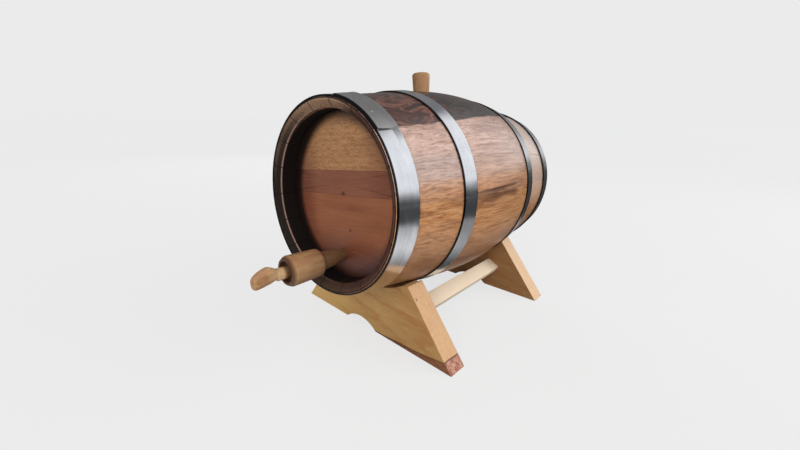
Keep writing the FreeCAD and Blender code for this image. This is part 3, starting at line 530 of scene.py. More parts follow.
def pine_material(name, heart=False, shade=0.0, pale=0.0):
    m = Nodes(name)
    g = m.attr("grain", True)
    w = wood_parts(m, g, ring_scale=1.05, ring_warp=0.45, fine=0.8)
    base = m.ramp(w["broad"], [(0.28, srgb(160, 118, 68)), (0.5, srgb(184, 146, 92)), (0.74, srgb(170, 130, 78))])
    late = m.remap(w["rings"], 0.45, 0.96, 0.0, 1.0, True)
    base = m.mix(m.math("MULTIPLY", late, 0.46), base, srgb(164, 106, 58))
    f = m.remap(w["fibre"], 0.3, 0.72)
    base = m.mix(m.remap(f, 0.0, 0.5, 0.26, 0.0), base, srgb(168, 118, 72))
    base = m.mix(m.remap(f, 0.62, 1.0, 0.0, 0.3), base, srgb(236, 206, 164))
    streak = m.noise(m.vmath("MULTIPLY", g, (0.9, 0.12, 0.9)), 1.0, 3.0, 0.6, 0.6)
    base = m.mix(m.remap(streak, 0.56, 0.72, 0.0, 0.5), base, srgb(186, 122, 64))
    ends = m.attr("ends")
    ec = m.ramp(m.noise(m.vmath("MULTIPLY", g, (4.0, 1.0, 4.0)), 1.0, 3.0, 0.6),
                [(0.3, srgb(190, 148, 112)), (0.5, srgb(204, 166, 130)), (0.62, srgb(198, 158, 122)), (0.8, srgb(186, 142, 104))])
    base = m.mix(m.math("MULTIPLY", ends, 0.75), base, ec)
    if heart:
        # heartwood below one dark growth line at the right foot
        xz = m.split(m.attr("place", True))       # board x, z in cm
        wob = m.noise(m.vmath("MULTIPLY", g, (0.5, 0.22, 0.5)), 1.0, 2.0, 0.5)
        t = m.math("SUBTRACT", xz[0], 1.2)
        f1 = m.math("ADD", m.math("MULTIPLY", t, 0.060), m.math("MULTIPLY", m.math("MULTIPLY", t, t), 0.0042))
        f1 = m.math("ADD", f1, m.math("MULTIPLY", m.math("SUBTRACT", wob, 0.5), 0.35))
        f1 = m.math("ADD", f1, m.remap(xz[0], 1.5, 7.0, 0.14, 0.0))
        d = m.math("SUBTRACT", xz[2], f1)
        right = m.remap(xz[0], 0.6, 2.0)
        below = m.math("MULTIPLY", m.remap(d, -0.05, 0.03, 1.0, 0.0), right)
        mott = m.noise(m.vmath("MULTIPLY", g, (2.4, 1.2, 2.4)), 1.0, 3.0, 0.6)
        side = m.ramp(mott, [(0.36, srgb(122, 66, 60)), (0.5, srgb(160, 106, 92)), (0.62, srgb(190, 142, 124))])
        face = m.ramp(mott, [(0.36, srgb(70, 34, 30)), (0.5, srgb(102, 56, 44)), (0.62, srgb(124, 76, 58))])
        foot = m.mix(ends, face, side)
        base = m.mix(m.math("MULTIPLY", below, 0.85), base, foot)
        # the far right of the front face is a little browner
        base = m.mix(m.math("MULTIPLY", m.remap(xz[0], 1.0, 8.0, 0.0, 0.30, True), m.math("SUBTRACT", 1.0, ends)),
                     base, srgb(132, 88, 48))
        # and its left is paler and yellower
        base = m.mix(m.math("MULTIPLY", m.remap(xz[0], -1.0, -7.0, 0.0, 0.45, True), m.math("SUBTRACT", 1.0, ends)),
                     base, srgb(222, 184, 112))
        line = m.math("MULTIPLY", m.remap(m.math("ABSOLUTE", d), 0.03, 0.10, 1.0, 0.0), right)
        base = m.mix(m.math("MULTIPLY", line, 0.85), base, srgb(74, 38, 24))
        dx = m.math("SUBTRACT", xz[0], 7.51)
        dy = m.math("SUBTRACT", xz[1], 0.38)
        dd = m.math("SQRT", m.math("ADD", m.math("MULTIPLY", dx, dx), m.math("MULTIPLY", dy, dy)))
        base = m.mix(m.remap(dd, 0.06, 0.16, 0.7, 0.0), base, srgb(110, 62, 36))
    # painted shadow of the cask over the faces of the rear board; its sloping sides are made paler
    if shade:
        base = m.mix(m.math("MULTIPLY", shade, m.math("SUBTRACT", 1.0, ends)), base, srgb(104, 58, 34))
        base = m.mix(m.math("MULTIPLY", ends, 0.30), base, srgb(240, 216, 186))
    if pale:
        base = m.mix(pale, base, srgb(238, 222, 198))
    h = m.math("ADD", m.math("MULTIPLY", w["fibre"], 0.6), m.math("MULTIPLY", late, 0.35))
    m.set(color=base, rough=m.remap(w["fibre"], 0.3, 0.75, 0.62, 0.48), normal=m.bump(h, 0.5, 0.0002), spec=0.45)
    return m.mat


def plain_wood_material():
    """Dowels: short lengths of pale rod, seen only when the model is taken apart."""
    m = Nodes("dowel_wood")
    tc = m.node("ShaderNodeTexCoord")
    g = m.vmath("MULTIPLY", tc.outputs["Object"], (100.0, 100.0, 100.0))
    n = m.noise(m.vmath("MULTIPLY", g, (9.0, 1.0, 9.0)), 1.0, 3.0, 0.6)
    c = m.ramp(n, [(0.3, srgb(164, 122, 80)), (0.55, srgb(202, 162, 116)), (0.8, srgb(184, 142, 98))])
    m.set(color=c, rough=m.remap(n, 0.3, 0.7, 0.6, 0.5), normal=m.bump(n, 0.4, 0.0002))
    return m.mat


STAVE = stave_material("cask_stave_wood")
STAVE_END = stave_material("cask_stave_end", True)
HEAD = head_material()
STEEL = steel_material("hoop_steel")
STEEL_LAP = steel_material("hoop_steel_lap", dull=0.30)
RIVET = steel_material("rivet_steel", dull=0.3)
TURNED = turned_material()
PINE_FRONT = pine_material("cradle_pine_front", heart=True)
PINE_REAR = pine_material("cradle_pine_rear", shade=0.60)
PINE_BAR = pine_material("cradle_pine_bar", pale=0.85)
DOWEL = plain_wood_material()

# ------------------------------------------------------------------- staves
LEN = 338.4


def outer_r(y):
    y = min(y, LEN - y)
    if y <= 108.3:
        return 98.5 + (112.95 - 98.5) * y / 108.3
    c = 112.95 - math.sqrt(461.0 ** 2 - 60.9 ** 2)
    return c + math.sqrt(461.0 ** 2 - (169.2 - y) ** 2)


def inner_r(y):
    y = min(y, LEN - y)
    if y <= 108.3:
        return 88.3 + (98.95 - 88.3) * (y - 29.0) / (108.3 - 29.0)
    c = 98.95 - math.sqrt(447.0 ** 2 - 60.9 ** 2)
    return c + math.sqrt(447.0 ** 2 - (169.2 - y) ** 2)


def stave_profile():
    """(radius, y, kind) round one stave in the meridian plane; kind marks its ends."""
    out = []
    ys = [0.9, 2.5, 6, 12, 18, 24, 30, 40, 50, 60, 70, 80, 90, 100, 108.3, 116, 124, 132, 140, 148, 156, 163, 169.2]
    ys = ys + [LEN - y for y in ys[-2::-1]]
    for y in ys:
        out.append((outer_r(y), y, 0.0))
    def end(front):
        pts = [(98.1, 0.25, 0.6), (97.6, 0.0, 0.94), (96.8, 0.0, 0.95), (96.2, 0.0, 1.0), (95.2, 0.0, 1.0), (94.6, 0.35, 1.3), (92.0, 2.7, 2.0),
               (89.0, 5.2, 2.0), (88.45, 6.0, 2.0), (88.2, 10.0, 2.0), (88.0, 16.0, 2.0), (87.75, 23.9, 2.0),
               (90.8, 24.0, 2.0), (90.8, 29.0, 2.0), (88.3, 29.1, 2.0)]
        return pts if front else [(r, LEN - y, k) for r, y, k in pts]
    rear = end(False)
    inn = [(inner_r(y), y, 2.0) for y in (36, 50, 70, 90, 108.3, 124, 140, 156, 169.2, 182.4, 198.4, 214.4, 230.1,
                                          248.4, 268.4, 288.4, 302.4)][::-1]
    return out + rear + inn + end(True)[::-1]


PROFILE = stave_profile()
TS = [-1.0, -0.988, -0.97, -0.94, -0.88, -0.75, -0.5, -0.25, 0.0, 0.25, 0.5, 0.75, 0.88, 0.94, 0.97, 0.988, 1.0]
names = ["bung_stave"] + ["stave_%02d" % k for k in range(2, 19)]
# tones listed for the seen side: staves 6 to 8 darken towards the bottom as painted shade; staves 0 to 4 on the upper
# side are pale, with the painted sheen; the rest are random
tones = {0: (0.10, 0.3), 1: (0.10, 0.5), 2: (0.00, 0.55), 3: (0.00, 0.80), 4: (0.02, 0.25), 5: (0.0, 0.0),
         6: (0.10, 0.0), 7: (0.16, 0.0), 8: (0.26, 0.1)}
for k, name in enumerate(names):
    centre = 90.0 - 20.0 * k
    if centre < -180:
        centre += 360
    rings, grain, tone, place, ends, depth = [], [], [], [], [], []
    t0 = tones.get(k, (0.05 + 0.18 * RNG.rand(), 0.4 * RNG.rand()))
    shift_end = 0.25 * RNG.rand(2)
    flat = 0.20 + 0.15 * RNG.rand()
    phase = RNG.rand() * 10
    for t in TS:
        ring = []
        half = 10.0 - 0.015
        a = centre + half * t
        ca, sa = math.cos(math.radians(a)), math.sin(math.radians(a))
        for r, y, kind in PROFILE:
            mm_edge = (1 - abs(t)) * r * math.radians(10.0)
            drop = 0.0
            if kind < 0.9:
                drop = 0.12 * max(0.0, 1 - mm_edge / 0.6) ** 2 + flat * t * t * 0.5
                drop += 0.05 * (1 + math.sin(y * 0.045 + phase + 2 * t))
            elif r > 94:
                drop = 0.0
            yy = y
            if y < 1.0:
                yy = y + shift_end[0] + 0.25 * max(0.0, 1 - mm_edge / 0.9)
            elif y > LEN - 1.0:
                yy = y - shift_end[1] - 0.25 * max(0.0, 1 - mm_edge / 0.9)
            rr = r - drop
            ring.append((rr * ca, yy, rr * sa))
            grain.append((t * 0.1 * r * math.radians(10.0) + 17.3 * k, y * 0.1 + 3.1 * k, r * 0.1 + 5.7 * k))
            tone.append((t0[0], t0[1], 0.0))
            place.append((a / 100.0, y / 100.0, mm_edge))
            depth.append(min(y, LEN - y) / 10.0 if kind >= 1.0 else 0.0)
            if kind >= 2.0 and (y < 24 or y > LEN - 24):
                # chime wall: near black at the left, brown towards the right
                rr_ = 2.0 + 0.75 * max(0.0, math.cos(math.radians(a + 5.5))) ** 1.5
                ends.append(rr_)
            else:
                ends.append(min(kind, 2.0))
        rings.append(ring)
    verts, faces = loft(rings, True, True, True)
    piece(name + "_shaved", verts, faces, CASK, "cask", STAVE, name,
          grain=grain, extra={"tone": tone, "place": place, "ends": ends, "depth": depth}, sharp=28, second=(STAVE_END, ends))

# -------------------------------------------------------------------- heads


def board_outline(low, high, radius=87.3, n=64):
    """Outline of the part of a disc between two heights, anticlockwise."""
    pts = []
    low, high = max(low, -radius + 1e-6), min(high, radius - 1e-6)
    a0, a1 = math.asin(low / radius), math.asin(high / radius)
    for i in range(n + 1):
        a = a0 + (a1 - a0) * i / n
        pts.append((radius * math.cos(a), radius * math.sin(a)))
    for i in range(n + 1):
        a = a1 + (a0 - a1) * i / n
        pts.append((-radius * math.cos(a), radius * math.sin(a)))
    out = []
    for p in pts:
        if not out or math.hypot(p[0] - out[-1][0], p[1] - out[-1][1]) > 0.05:
            out.append(p)
    if math.hypot(out[0][0] - out[-1][0], out[0][1] - out[-1][1]) < 0.05:
        out.pop()
    return out


def inset(poly, d):
    """Moves an outline inwards by d."""
    P = np.array(poly)
    n = len(P)
    out = []
    for i in range(n):
        a, b, c = P[i - 1], P[i], P[(i + 1) % n]
        u, v = (b - a) / np.linalg.norm(b - a), (c - b) / np.linalg.norm(c - b)
        nu, nv = np.array([-u[1], u[0]]), np.array([-v[1], v[0]])
        w = nu + nv
        w = w / max(np.dot(w, nu), 0.25)
        out.append(b + w * d)
    return out


def head_board(end, part, low, high, kind, set_back):
    name = "%s_head_%s_board" % (end, part)
    outline = board_outline(low, high)
    tongue = board_outline(low, high, 90.4)
    # rings of the outline from the face, round its arris, to the back
    y_face = 22.0 + set_back
    steps = [(1.4, y_face), (0.7, y_face + 0.01), (0.13, y_face + 0.05), (0.03, y_face + 0.20), (0.03, 24.0),
             ("t", 24.05), ("t", 28.95), (0.04, 29.0), (0.04, 35.5), (0.5, 36.0)]
    rings, edge = [], []
    n = len(outline)
    joint_high, joint_low = high < 87, low > -87
    for d, y in steps:
        loop = inset(tongue, 0.04) if d == "t" else inset(outline, d)
        if len(tongue) != n:
            loop = inset(outline, 0.04 if d == "t" else d)
        yy = y if end == "front" else LEN - y
        rings.append([(p[0], yy, p[1]) for p in loop])
        for p in loop:
            e = 0.0
            # 1 marks the lower arris of the upper board for a painted highlight, -0.6 the other joints, which are
            # darkened
            if y < 23.5:
                near_low = joint_low and p[1] - low < 0.6
                near_high = joint_high and high - p[1] < 0.6
                if near_low and part == "upper":
                    e = 1.0
                elif near_low or near_high:
                    e = -0.6
            edge.append(e)
    # the face itself: a grid of loops shrinking to the middle keeps the outline tidy
    front = rings[0]
    cx = np.mean([p[0] for p in front])
    cz = np.mean([p[2] for p in front])
    verts, faces = loft(rings, True, False, True)
    verts = list(map(tuple, verts))
    prev = list(range(n))
    for s in (0.985, 0.93, 0.8, 0.6, 0.35):
        start = len(verts)
        for j in range(n):
            p = front[j]
            verts.append((cx + (p[0] - cx) * s, p[1], cz + (p[2] - cz) * s))
            edge.append(0.0)
        for j in range(n):
            l = (j + 1) % n
            faces.append((prev[j], prev[l], start + l, start + j))
        prev = list(range(start, start + n))
    verts.append((cx, front[0][1], cz))
    edge.append(0.0)
    c = len(verts) - 1
    for j in range(n):
        faces.append((prev[j], prev[(j + 1) % n], c))
    V3 = np.array(verts)
    off = {"upper": 31.0, "middle": 57.0, "lower": 83.0}[part] + (200.0 if end == "rear" else 0.0)
    grain = np.stack([V3[:, 2] * 0.1 + off, V3[:, 0] * 0.1 + off * 1.3, V3[:, 1] * 0.1], -1)
    place = np.stack([V3[:, 0] * 0.1, V3[:, 2] * 0.1, V3[:, 1] * 0.0], -1)
    return piece(name + "_planed", V3, faces, CASK, "cask", HEAD, name, grain=grain,
                 extra={"place": place, "board": np.full(len(V3), float(kind)), "edge": edge}, sharp=30)


for end in ("front", "rear"):
    head_board(end, "upper", 27.65, 100.0, 0, 0.05)
    head_board(end, "middle", 2.01, 27.58, 1, 0.42)
    head_board(end, "lower", -100.0, 1.99, 2, 0.40)

# -------------------------------------------------------------------- hoops


def strip_section(corners, thick, lift=0.0, inset_mm=0.0, rear=False):
    """Rounded cross-section of the steel strip as (radius, y, across cm, half cm)."""
    c = [(r + lift, y) for r, y in corners]
    if inset_mm:
        (r0, y0), (r1, y1) = c[0], c[1]
        f = inset_mm / (y1 - y0)
        c[0] = (r0 + (r1 - r0) * f, y0 + inset_mm)
        (r0, y0), (r1, y1) = c[-2], c[-1]
        f = inset_mm / (y1 - y0)
        c[-1] = (r1 - (r1 - r0) * f, y1 - inset_mm)
    lo, hi = c[0][1], c[-1][1]
    mid, half = (lo + hi) / 2, (hi - lo) / 20.0

    def surf(y):
        for (r0, y0), (r1, y1) in zip(c, c[1:]):
            if y <= y1 or (r1, y1) == c[-1]:
                return r0 + (r1 - r0) * (y - y0) / (y1 - y0)
    ys = [lo + 0.45]
    inner_y = np.linspace(lo + 1.0, hi - 1.0, 9)
    if len(c) == 3:
        ky = c[1][1]
        inner_y = np.array(sorted([y for y in inner_y if abs(y - ky) > 1.2] + [ky - 1.0, ky - 0.35, ky + 0.35, ky + 1.0]))
    ys = [lo + 0.45] + list(inner_y) + [hi - 0.45]
    out = [(surf(lo) + 0.05, lo + 0.12), (surf(lo) + thick * 0.5, lo), (surf(lo) + thick - 0.3, lo + 0.06),
           (surf(lo) + thick - 0.08, lo + 0.22)]
    out += [(surf(y) + thick, y) for y in ys]
    out += [(surf(hi) + thick - 0.08, hi - 0.22), (surf(hi) + thick - 0.3, hi - 0.06),
            (surf(hi) + thick * 0.5, hi), (surf(hi) + 0.05, hi - 0.12)]
    out += [(surf(y), y) for y in ys[::-1]]
    res = []
    for r, y in out:
        yy = LEN - y if rear else y
        res.append((r, yy, (y - mid) / 10.0, half))
    return res


def hoop(name, corners, lap_mid, lap_half, rear, waves):
    sec = strip_section(corners, 1.45, 0.0, 0.0, rear)
    n = 288
    rings, strip, half, lead = [], [], [], []
    flip = -1.0 if rear else 1.0
    for i in range(n):
        a = 2 * math.pi * i / n
        deg = math.degrees(a)
        w = sum(amp * math.sin(k * a + ph) for k, amp, ph in waves)
        # knocks of the cooper's hammer along the edge that was driven
        ring = []
        for r, y, across, hf in sec:
            rr = r + w * 0.7 - 0.10
            kx = math.sin(deg * 0.9 + 3.0) * math.sin(deg * 0.37)
            if across > hf - 0.25 and r > corners[-1][0] + 1.0:
                rr -= 0.10 * max(0.0, kx)
            ring.append((rr * math.cos(a), y, rr * math.sin(a)))
            strip.append((a * r * 0.1, across, r * 0.01))
            half.append(hf)
            lead.append(across * flip + (0.06 if rear else 0.0))
        rings.append(ring)
    verts, faces = loft_cycle(rings)
    # the last ring is joined back to the first, closing the strip
    piece(name + "_strip", verts, faces, CASK, "cask", STEEL, name,
          extra={"strip": strip, "half": half, "lead": lead}, sharp=40)
    sec = strip_section(corners, 1.40, 1.42, 0.35, rear)
    rings, strip, half, lead = [], [], [], []
    m = 40
    for i in range(m + 1):
        f = i / m
        a = math.radians(lap_mid - lap_half + 2 * lap_half * f)
        w = sum(amp * math.sin(k * a + ph) for k, amp, ph in waves)
        end = min(f, 1 - f) * 2 * lap_half * math.radians(1) * 105.0
        ring = []
        for r, y, across, hf in sec:
            pull = max(0.0, 1 - end / 2.2) ** 2 * 2.2 if abs(across) > hf - 0.22 else 0.0
            aa = a + math.copysign(pull / 105.0 * 0.55, 0.5 - f)
            rr = r + w * 0.7 - 0.10
            ring.append((rr * math.cos(aa), y, rr * math.sin(aa)))
            strip.append((a * r * 0.1 + 40.0, across, r * 0.01))
            half.append(hf)
            lead.append(across * flip + (0.06 if rear else 0.0))
        rings.append(ring)
    verts, faces = loft(rings, True, True, True)
    return piece(name + "_lap", verts, faces, CASK, "cask", STEEL_LAP, (),
                 extra={"strip": strip, "half": half, "lead": lead}, sharp=40)


SLOPE = math.degrees(math.atan2(112.95 - 98.5, 108.3))
head_strip = [(98.55, 0.05), (100.835, 17.5), (102.386, 25.0)]
quarter_strip = [(109.948, 85.8), (112.617, 105.8)]
hoop("front_head_hoop", head_strip, 58.0, 19.0, False, [(3, 0.05, 1.0), (7, 0.04, 2.0), (12, 0.03, 0.3)])
hoop("front_quarter_hoop", quarter_strip, 150.0, 15.0, False, [(4, 0.05, 0.4), (9, 0.03, 1.2)])
hoop("rear_quarter_hoop", quarter_strip, 205.0, 15.0, True, [(4, 0.05, 2.4), (9, 0.03, 0.2)])
hoop("rear_head_hoop", head_strip, 130.0, 19.0, True, [(3, 0.05, 0.2), (8, 0.04, 1.0)])

# rivets: flat domed heads, two to each lap
verts_all, faces_all, strip_all, half_all = [], [], [], []
for lap_mid, y, r0, rear in ((58.0, 8.75, 99.668, False), (150.0, 95.8, 111.282, False),
                             (205.0, 95.8, 111.282, True), (130.0, 8.75, 99.668, True)):
    step = math.degrees(math.asin(11.0 / r0))
    for side in (-1, 1):
        prof = [(0.0, -1.2), (1.55, -1.2), (1.55, 1.55), (2.35, 1.56), (2.38, 1.64), (2.1, 1.78), (1.5, 1.88),
                (0.8, 1.93), (0.0, 1.95)]
        v, f = lathe(prof, 24)
        v = v[:, [0, 2, 1]] * np.array([1, 1, 1])           # height along local Z
        tilt = SLOPE if rear else -SLOPE
        spot = rot("Y", -(lap_mid - side * step)) @ Matrix.Translation((r0 + 1.1, LEN - y if rear else y, 0)) \
            @ rot("Z", tilt) @ rot("Y", 90)
        mt = np.array(spot)
        v = v @ mt[:3, :3].T + mt[:3, 3]
        base = len(verts_all)
        verts_all += v.tolist()
        faces_all += [tuple(base + i for i in q) for q in f]
        strip_all += [(p[0] * 0.1, 0.0, p[2] * 0.1) for p in v]
        half_all += [2.0] * len(v)
piece("hoop_rivet_heads", verts_all, faces_all, CASK, "cask", RIVET, "hoop_rivets",
      extra={"strip": strip_all, "half": half_all, "lead": half_all}, sharp=40)

# --------------------------------------------------------------------- bung
arc = [(8.0 + 3.0 * math.cos(math.radians(a)), 20.0 + 3.0 * math.sin(math.radians(a))) for a in range(0, 91, 15)]
prof = [(0.0, -17.0), (8.9, -17.0), (9.3, -16.6), (9.65, -8.0), (10.0, 0.0), (10.3, 6.0), (10.62, 12.0)] + \
    [(r * 0.998, y) for r, y in arc] + [(6.0, 23.0), (3.0, 22.85), (0.0, 22.8)]
v, f = lathe(prof, 72, 0.06)
grain = np.stack([v[:, 0] * 0.1 + 3.0, v[:, 1] * 0.1, v[:, 2] * 0.1 + 1.0], -1)
# painted shade on the side of the bung turned from the light, a painted highlight on the side turned to it
light_facing = (v[:, 0] * 0.746 - v[:, 2] * 0.665) / np.maximum(np.hypot(v[:, 0], v[:, 2]), 1.0)
dark = np.interp(light_facing, [-1.0, 0.2, 0.8, 1.0], [0.40, 0.36, 0.12, -0.15])
piece("bung_turned", v, f, BUNG, "bung", TURNED, "bung", grain=grain,
      extra={"dark": dark}, sharp=35)

# ---------------------------------------------------------------------- tap
prof = [(3.0, -22.0), (5.8, -22.0), (5.95, -21.5), (6.5, 0.0), (7.4, 8.0), (8.35, 16.0), (9.25, 24.0), (9.85, 29.4),
        (10.3, 31.0), (11.5, 31.9), (12.8, 32.9), (13.7, 33.9), (14.25, 34.9), (14.45, 36.2), (14.55, 40.0),
        (14.83, 48.0), (15.1, 57.0), (15.32, 64.4), (15.38, 65.8), (15.32, 66.7), (15.05, 67.4), (13.6, 69.9),
        (13.15, 70.5), (12.6, 70.78), (11.2, 70.78), (10.8, 70.6), (10.62, 70.1), (10.6, 65.2), (10.5, 65.0),
        (9.35, 65.0), (9.25, 64.8), (8.1, 38.6), (3.0, 38.5)]
v, f = lathe(prof, 80)
# painted shade: dark inside the bore, on the face and chamfer at the front, and on the stem near the cask under the
# rim; darker still underneath
dark = np.zeros(len(v))
r = np.hypot(v[:, 0], v[:, 2])
dark[(v[:, 1] > 38) & (r < 10.7)] = 0.96
dark[(v[:, 1] > 67.2) & (r > 10.7)] = 0.88
dark[(v[:, 1] > 67.2) & (v[:, 1] < 68.5) & (r > 10.7)] = 0.30
outside = (v[:, 1] < 67.2) & (r > 6.2) & ~((v[:, 1] > 38) & (r < 10.7))
dark[outside] = np.interp(v[outside, 1], [-3, 8, 28, 33, 42, 56], [0.80, 0.74, 0.62, 0.34, 0.12, 0.0])
under = np.clip(v[:, 2] / np.maximum(r, 1.0) + 0.55, 0.0, 1.0) * 0.26
dark = np.where((v[:, 1] > 30) & (r > 10.7), np.clip(dark + under, 0.0, 0.9), dark)
grain = np.stack([v[:, 0] * 0.1 + 8.0, v[:, 1] * 0.1, v[:, 2] * 0.1 + 4.0], -1)
tap = piece("tap_body_turned", v, f, TAP, "cask", TURNED, "tap_body", grain=grain,
            extra={"dark": dark}, sharp=35)
# outlet hole in the underside
hole = bpy.data.meshes.new("outlet_cutter")
hv, hf = lathe([(0.0, 9.4), (3.4, 9.4), (3.4, 30.0), (0.0, 30.0)], 40)
hv = hv[:, [0, 2, 1]] + np.array([0, 50.0, 0])
mt = np.array(TAP)
hole.from_pydata(((hv @ mt[:3, :3].T + mt[:3, 3]) * MM).tolist(), [], [list(q) for q in hf])
bm = bmesh.new(); bm.from_mesh(hole); bmesh.ops.recalc_face_normals(bm, faces=bm.faces); bm.to_mesh(hole); bm.free()
cutter = bpy.data.objects.new("outlet_cutter", hole)
bpy.context.scene.collection.objects.link(cutter)
mod = tap.modifiers.new("outlet", "BOOLEAN")
mod.operation, mod.solver, mod.object = "DIFFERENCE", "EXACT", cutter
bpy.context.view_layer.update()
dg = bpy.context.evaluated_depsgraph_get()
cut_mesh = bpy.data.meshes.new_from_object(tap.evaluated_get(dg), preserve_all_data_layers=True, depsgraph=dg)
tap.modifiers.clear()
old = tap.data
tap.data = cut_mesh
cut_mesh.name = "tap_body_turned"
bpy.data.meshes.remove(old)
bpy.data.objects.remove(cutter)
bpy.data.meshes.remove(hole)

# key: turned plug and neck, thumb piece pared flat
plug = [(3.0, 39.0), (7.9, 39.0), (8.0, 39.2), (9.13, 64.6), (9.1, 64.95), (6.7, 65.0), (6.35, 65.6), (6.15, 68.0),
        (6.0, 72.0), (6.0, 75.0), (6.1, 79.9)]
v1, f1 = lathe([(3.0, 54.0)] + plug, 48)
# the lathe ring is closed through the bore; close it by hand instead
n = 48
v1 = v1.tolist()
f1 = [q for q in f1 if not (max(q) >= 11 * n and min(q) < n)]
v1.append((0.0, 54.0, 0.0))
tip = len(v1) - 1
f1 += [(tip, (j + 1) % n, j) for j in range(n)]
sections = [(80.3, -0.8, 5.7, 5.7, 1.0), (81.4, -1.5, 5.75, 5.6, 0.7), (83.8, -1.8, 6.5, 6.02, 0.34),
            (86.0, -1.9, 7.3, 6.3, 0.2), (87.85, -1.95, 7.9, 6.42, 0.16), (90.2, -1.6, 7.95, 6.3, 0.14),
            (92.4, -1.17, 7.92, 6.04, 0.14), (94.8, -0.55, 7.8, 5.8, 0.14), (97.1, 0.09, 7.55, 5.5, 0.15),
            (99.4, 0.85, 7.1, 5.2, 0.17), (101.3, 1.45, 6.5, 4.8, 0.22), (102.6, 1.7, 5.8, 4.3, 0.3),
            (103.4, 1.82, 5.0, 3.8, 0.4)]
rings = []
for s, drop, hh, ww, roundness in sections:
    ring = []
    for j in range(n):
        a = 2 * math.pi * j / n
        c, sn = math.cos(a), math.sin(a)
        # octagon radius in this direction, blended with the ellipse
        oct_r = min(1.0 / max(abs(c), 1e-9), 1.0 / max(abs(sn), 1e-9), 1.42 / (abs(c) + abs(sn)))
        k = roundness + (1 - roundness) * oct_r
        ring.append((ww * c * k * 0.985, s, drop + hh * sn * k * 0.985))
    rings.append(ring)
base = len(v1)
start = 11 * n
for i, ring in enumerate(rings):
    v1 += ring
for i in range(len(rings)):
    a0 = start if i == 0 else base + (i - 1) * n
    b0 = base + i * n
    for j in range(n):
        l = (j + 1) % n
        f1.append((a0 + j, a0 + l, b0 + l, b0 + j))
last = base + (len(rings) - 1) * n
v1.append((0.0, 103.72, 1.85))
f1 += [(len(v1) - 1, last + j, last + (j + 1) % n) for j in range(n)]
v1 = np.array(v1)
grain = np.stack([v1[:, 0] * 0.1 + 21.0, v1[:, 1] * 0.1, v1[:, 2] * 0.1 + 9.0], -1)
# painted shade on the plug and on the neck inside the recess, a painted highlight on the neck and thumb piece beyond
# it
dark = np.zeros(len(v1))
dark[v1[:, 1] < 65.65] = 0.9
shown = v1[:, 1] > 65.65
dark[shown] = np.interp(v1[shown, 1], [66, 72, 75, 84, 94], [0.88, 0.7, -0.30, -0.24, 0.08])
piece("tap_key_pared", v1, f1, TAP, "tap_key", TURNED, "tap_key", grain=grain,
      extra={"dark": dark}, sharp=24)

# ------------------------------------------------------------------- cradle


def arc_points(cx, cz, r, a0, a1, n):
    return [(cx + r * math.cos(math.radians(a0 + (a1 - a0) * i / n)),
             cz + r * math.sin(math.radians(a0 + (a1 - a0) * i / n))) for i in range(n + 1)]


def cradle_board(name, frame_at, notch, saddle_r, saddle_w, material, off, rebate=None):
    rn, hn = 42.2, 27.5
    zc = -math.sqrt(rn ** 2 - hn ** 2)
    an = math.degrees(math.asin(hn / rn))
    nt = arc_points(notch, zc, rn, 90 + an, 90 - an, 20)
    zs = 80.0 + math.sqrt(saddle_r ** 2 - (saddle_w / 2) ** 2)
    half = math.degrees(math.asin(saddle_w / 2 / saddle_r))
    sd = arc_points(0.0, zs, saddle_r, -90 + half, -90 - half, 40)
    outline = [(-128.5, 0.0)] + nt + [(128.5, 0.0), (65.1, 80.0)] + sd + [(-65.1, 80.0)]
    back = outline
    if rebate:
        # deeper saddle behind y = 20, under the quarter hoop
        rr, rz = rebate
        half = math.degrees(math.acos((rz - 80.0) / rr))
        deep = arc_points(0.0, rz, rr, -90 + half, -90 - half, 40)
        back = [(-128.5, 0.0)] + nt + [(128.5, 0.0), (65.1, 80.0)] + deep + [(-65.1, 80.0)]
    rings, grain, place, ends = [], [], [], []
    for d, y in ((1.0, 0.0), (0.42, 0.12), (0.12, 0.42), (0.0, 1.0), (0.0, THICK / 3), (0.0, THICK * 2 / 3),
                 (0.0, 20.0), (0.0, 20.02), (0.0, THICK - 1.0), (0.12, THICK - 0.42), (0.42, THICK - 0.12), (1.0, THICK)):
        loop = inset(back if y > 20.01 else outline, d)
        rings.append([(p[0], y, p[1]) for p in loop])
        for p in loop:
            slope_side = abs(abs(p[0]) - (128.5 - 0.7925 * p[1])) < 1.6
            ends.append(1.0 if slope_side and 0.9 < y < THICK - 0.9 else 0.0)
            place.append((p[0] * 0.1, y * 0.1, p[1] * 0.1))
            grain.append((p[1] * 0.1 + off, p[0] * 0.1 + off * 2, y * 0.1 + 0.10 * p[0] * 0.1 + off))
    verts, faces = loft(rings, True, True, True)
    return piece(name + "_sawn", verts, faces, STAND @ frame_at, "cradle", material, name,
                 grain=grain, extra={"place": place, "ends": ends}, sharp=30)


cradle_board("cradle_front_board", FRONT_BOARD, -14.0, 110.3, 117.9, PINE_FRONT, 13.0, (113.0, 173.3))
cradle_board("cradle_rear_board", REAR_BOARD, 17.0, 107.0, 128.0, PINE_REAR, 47.0)

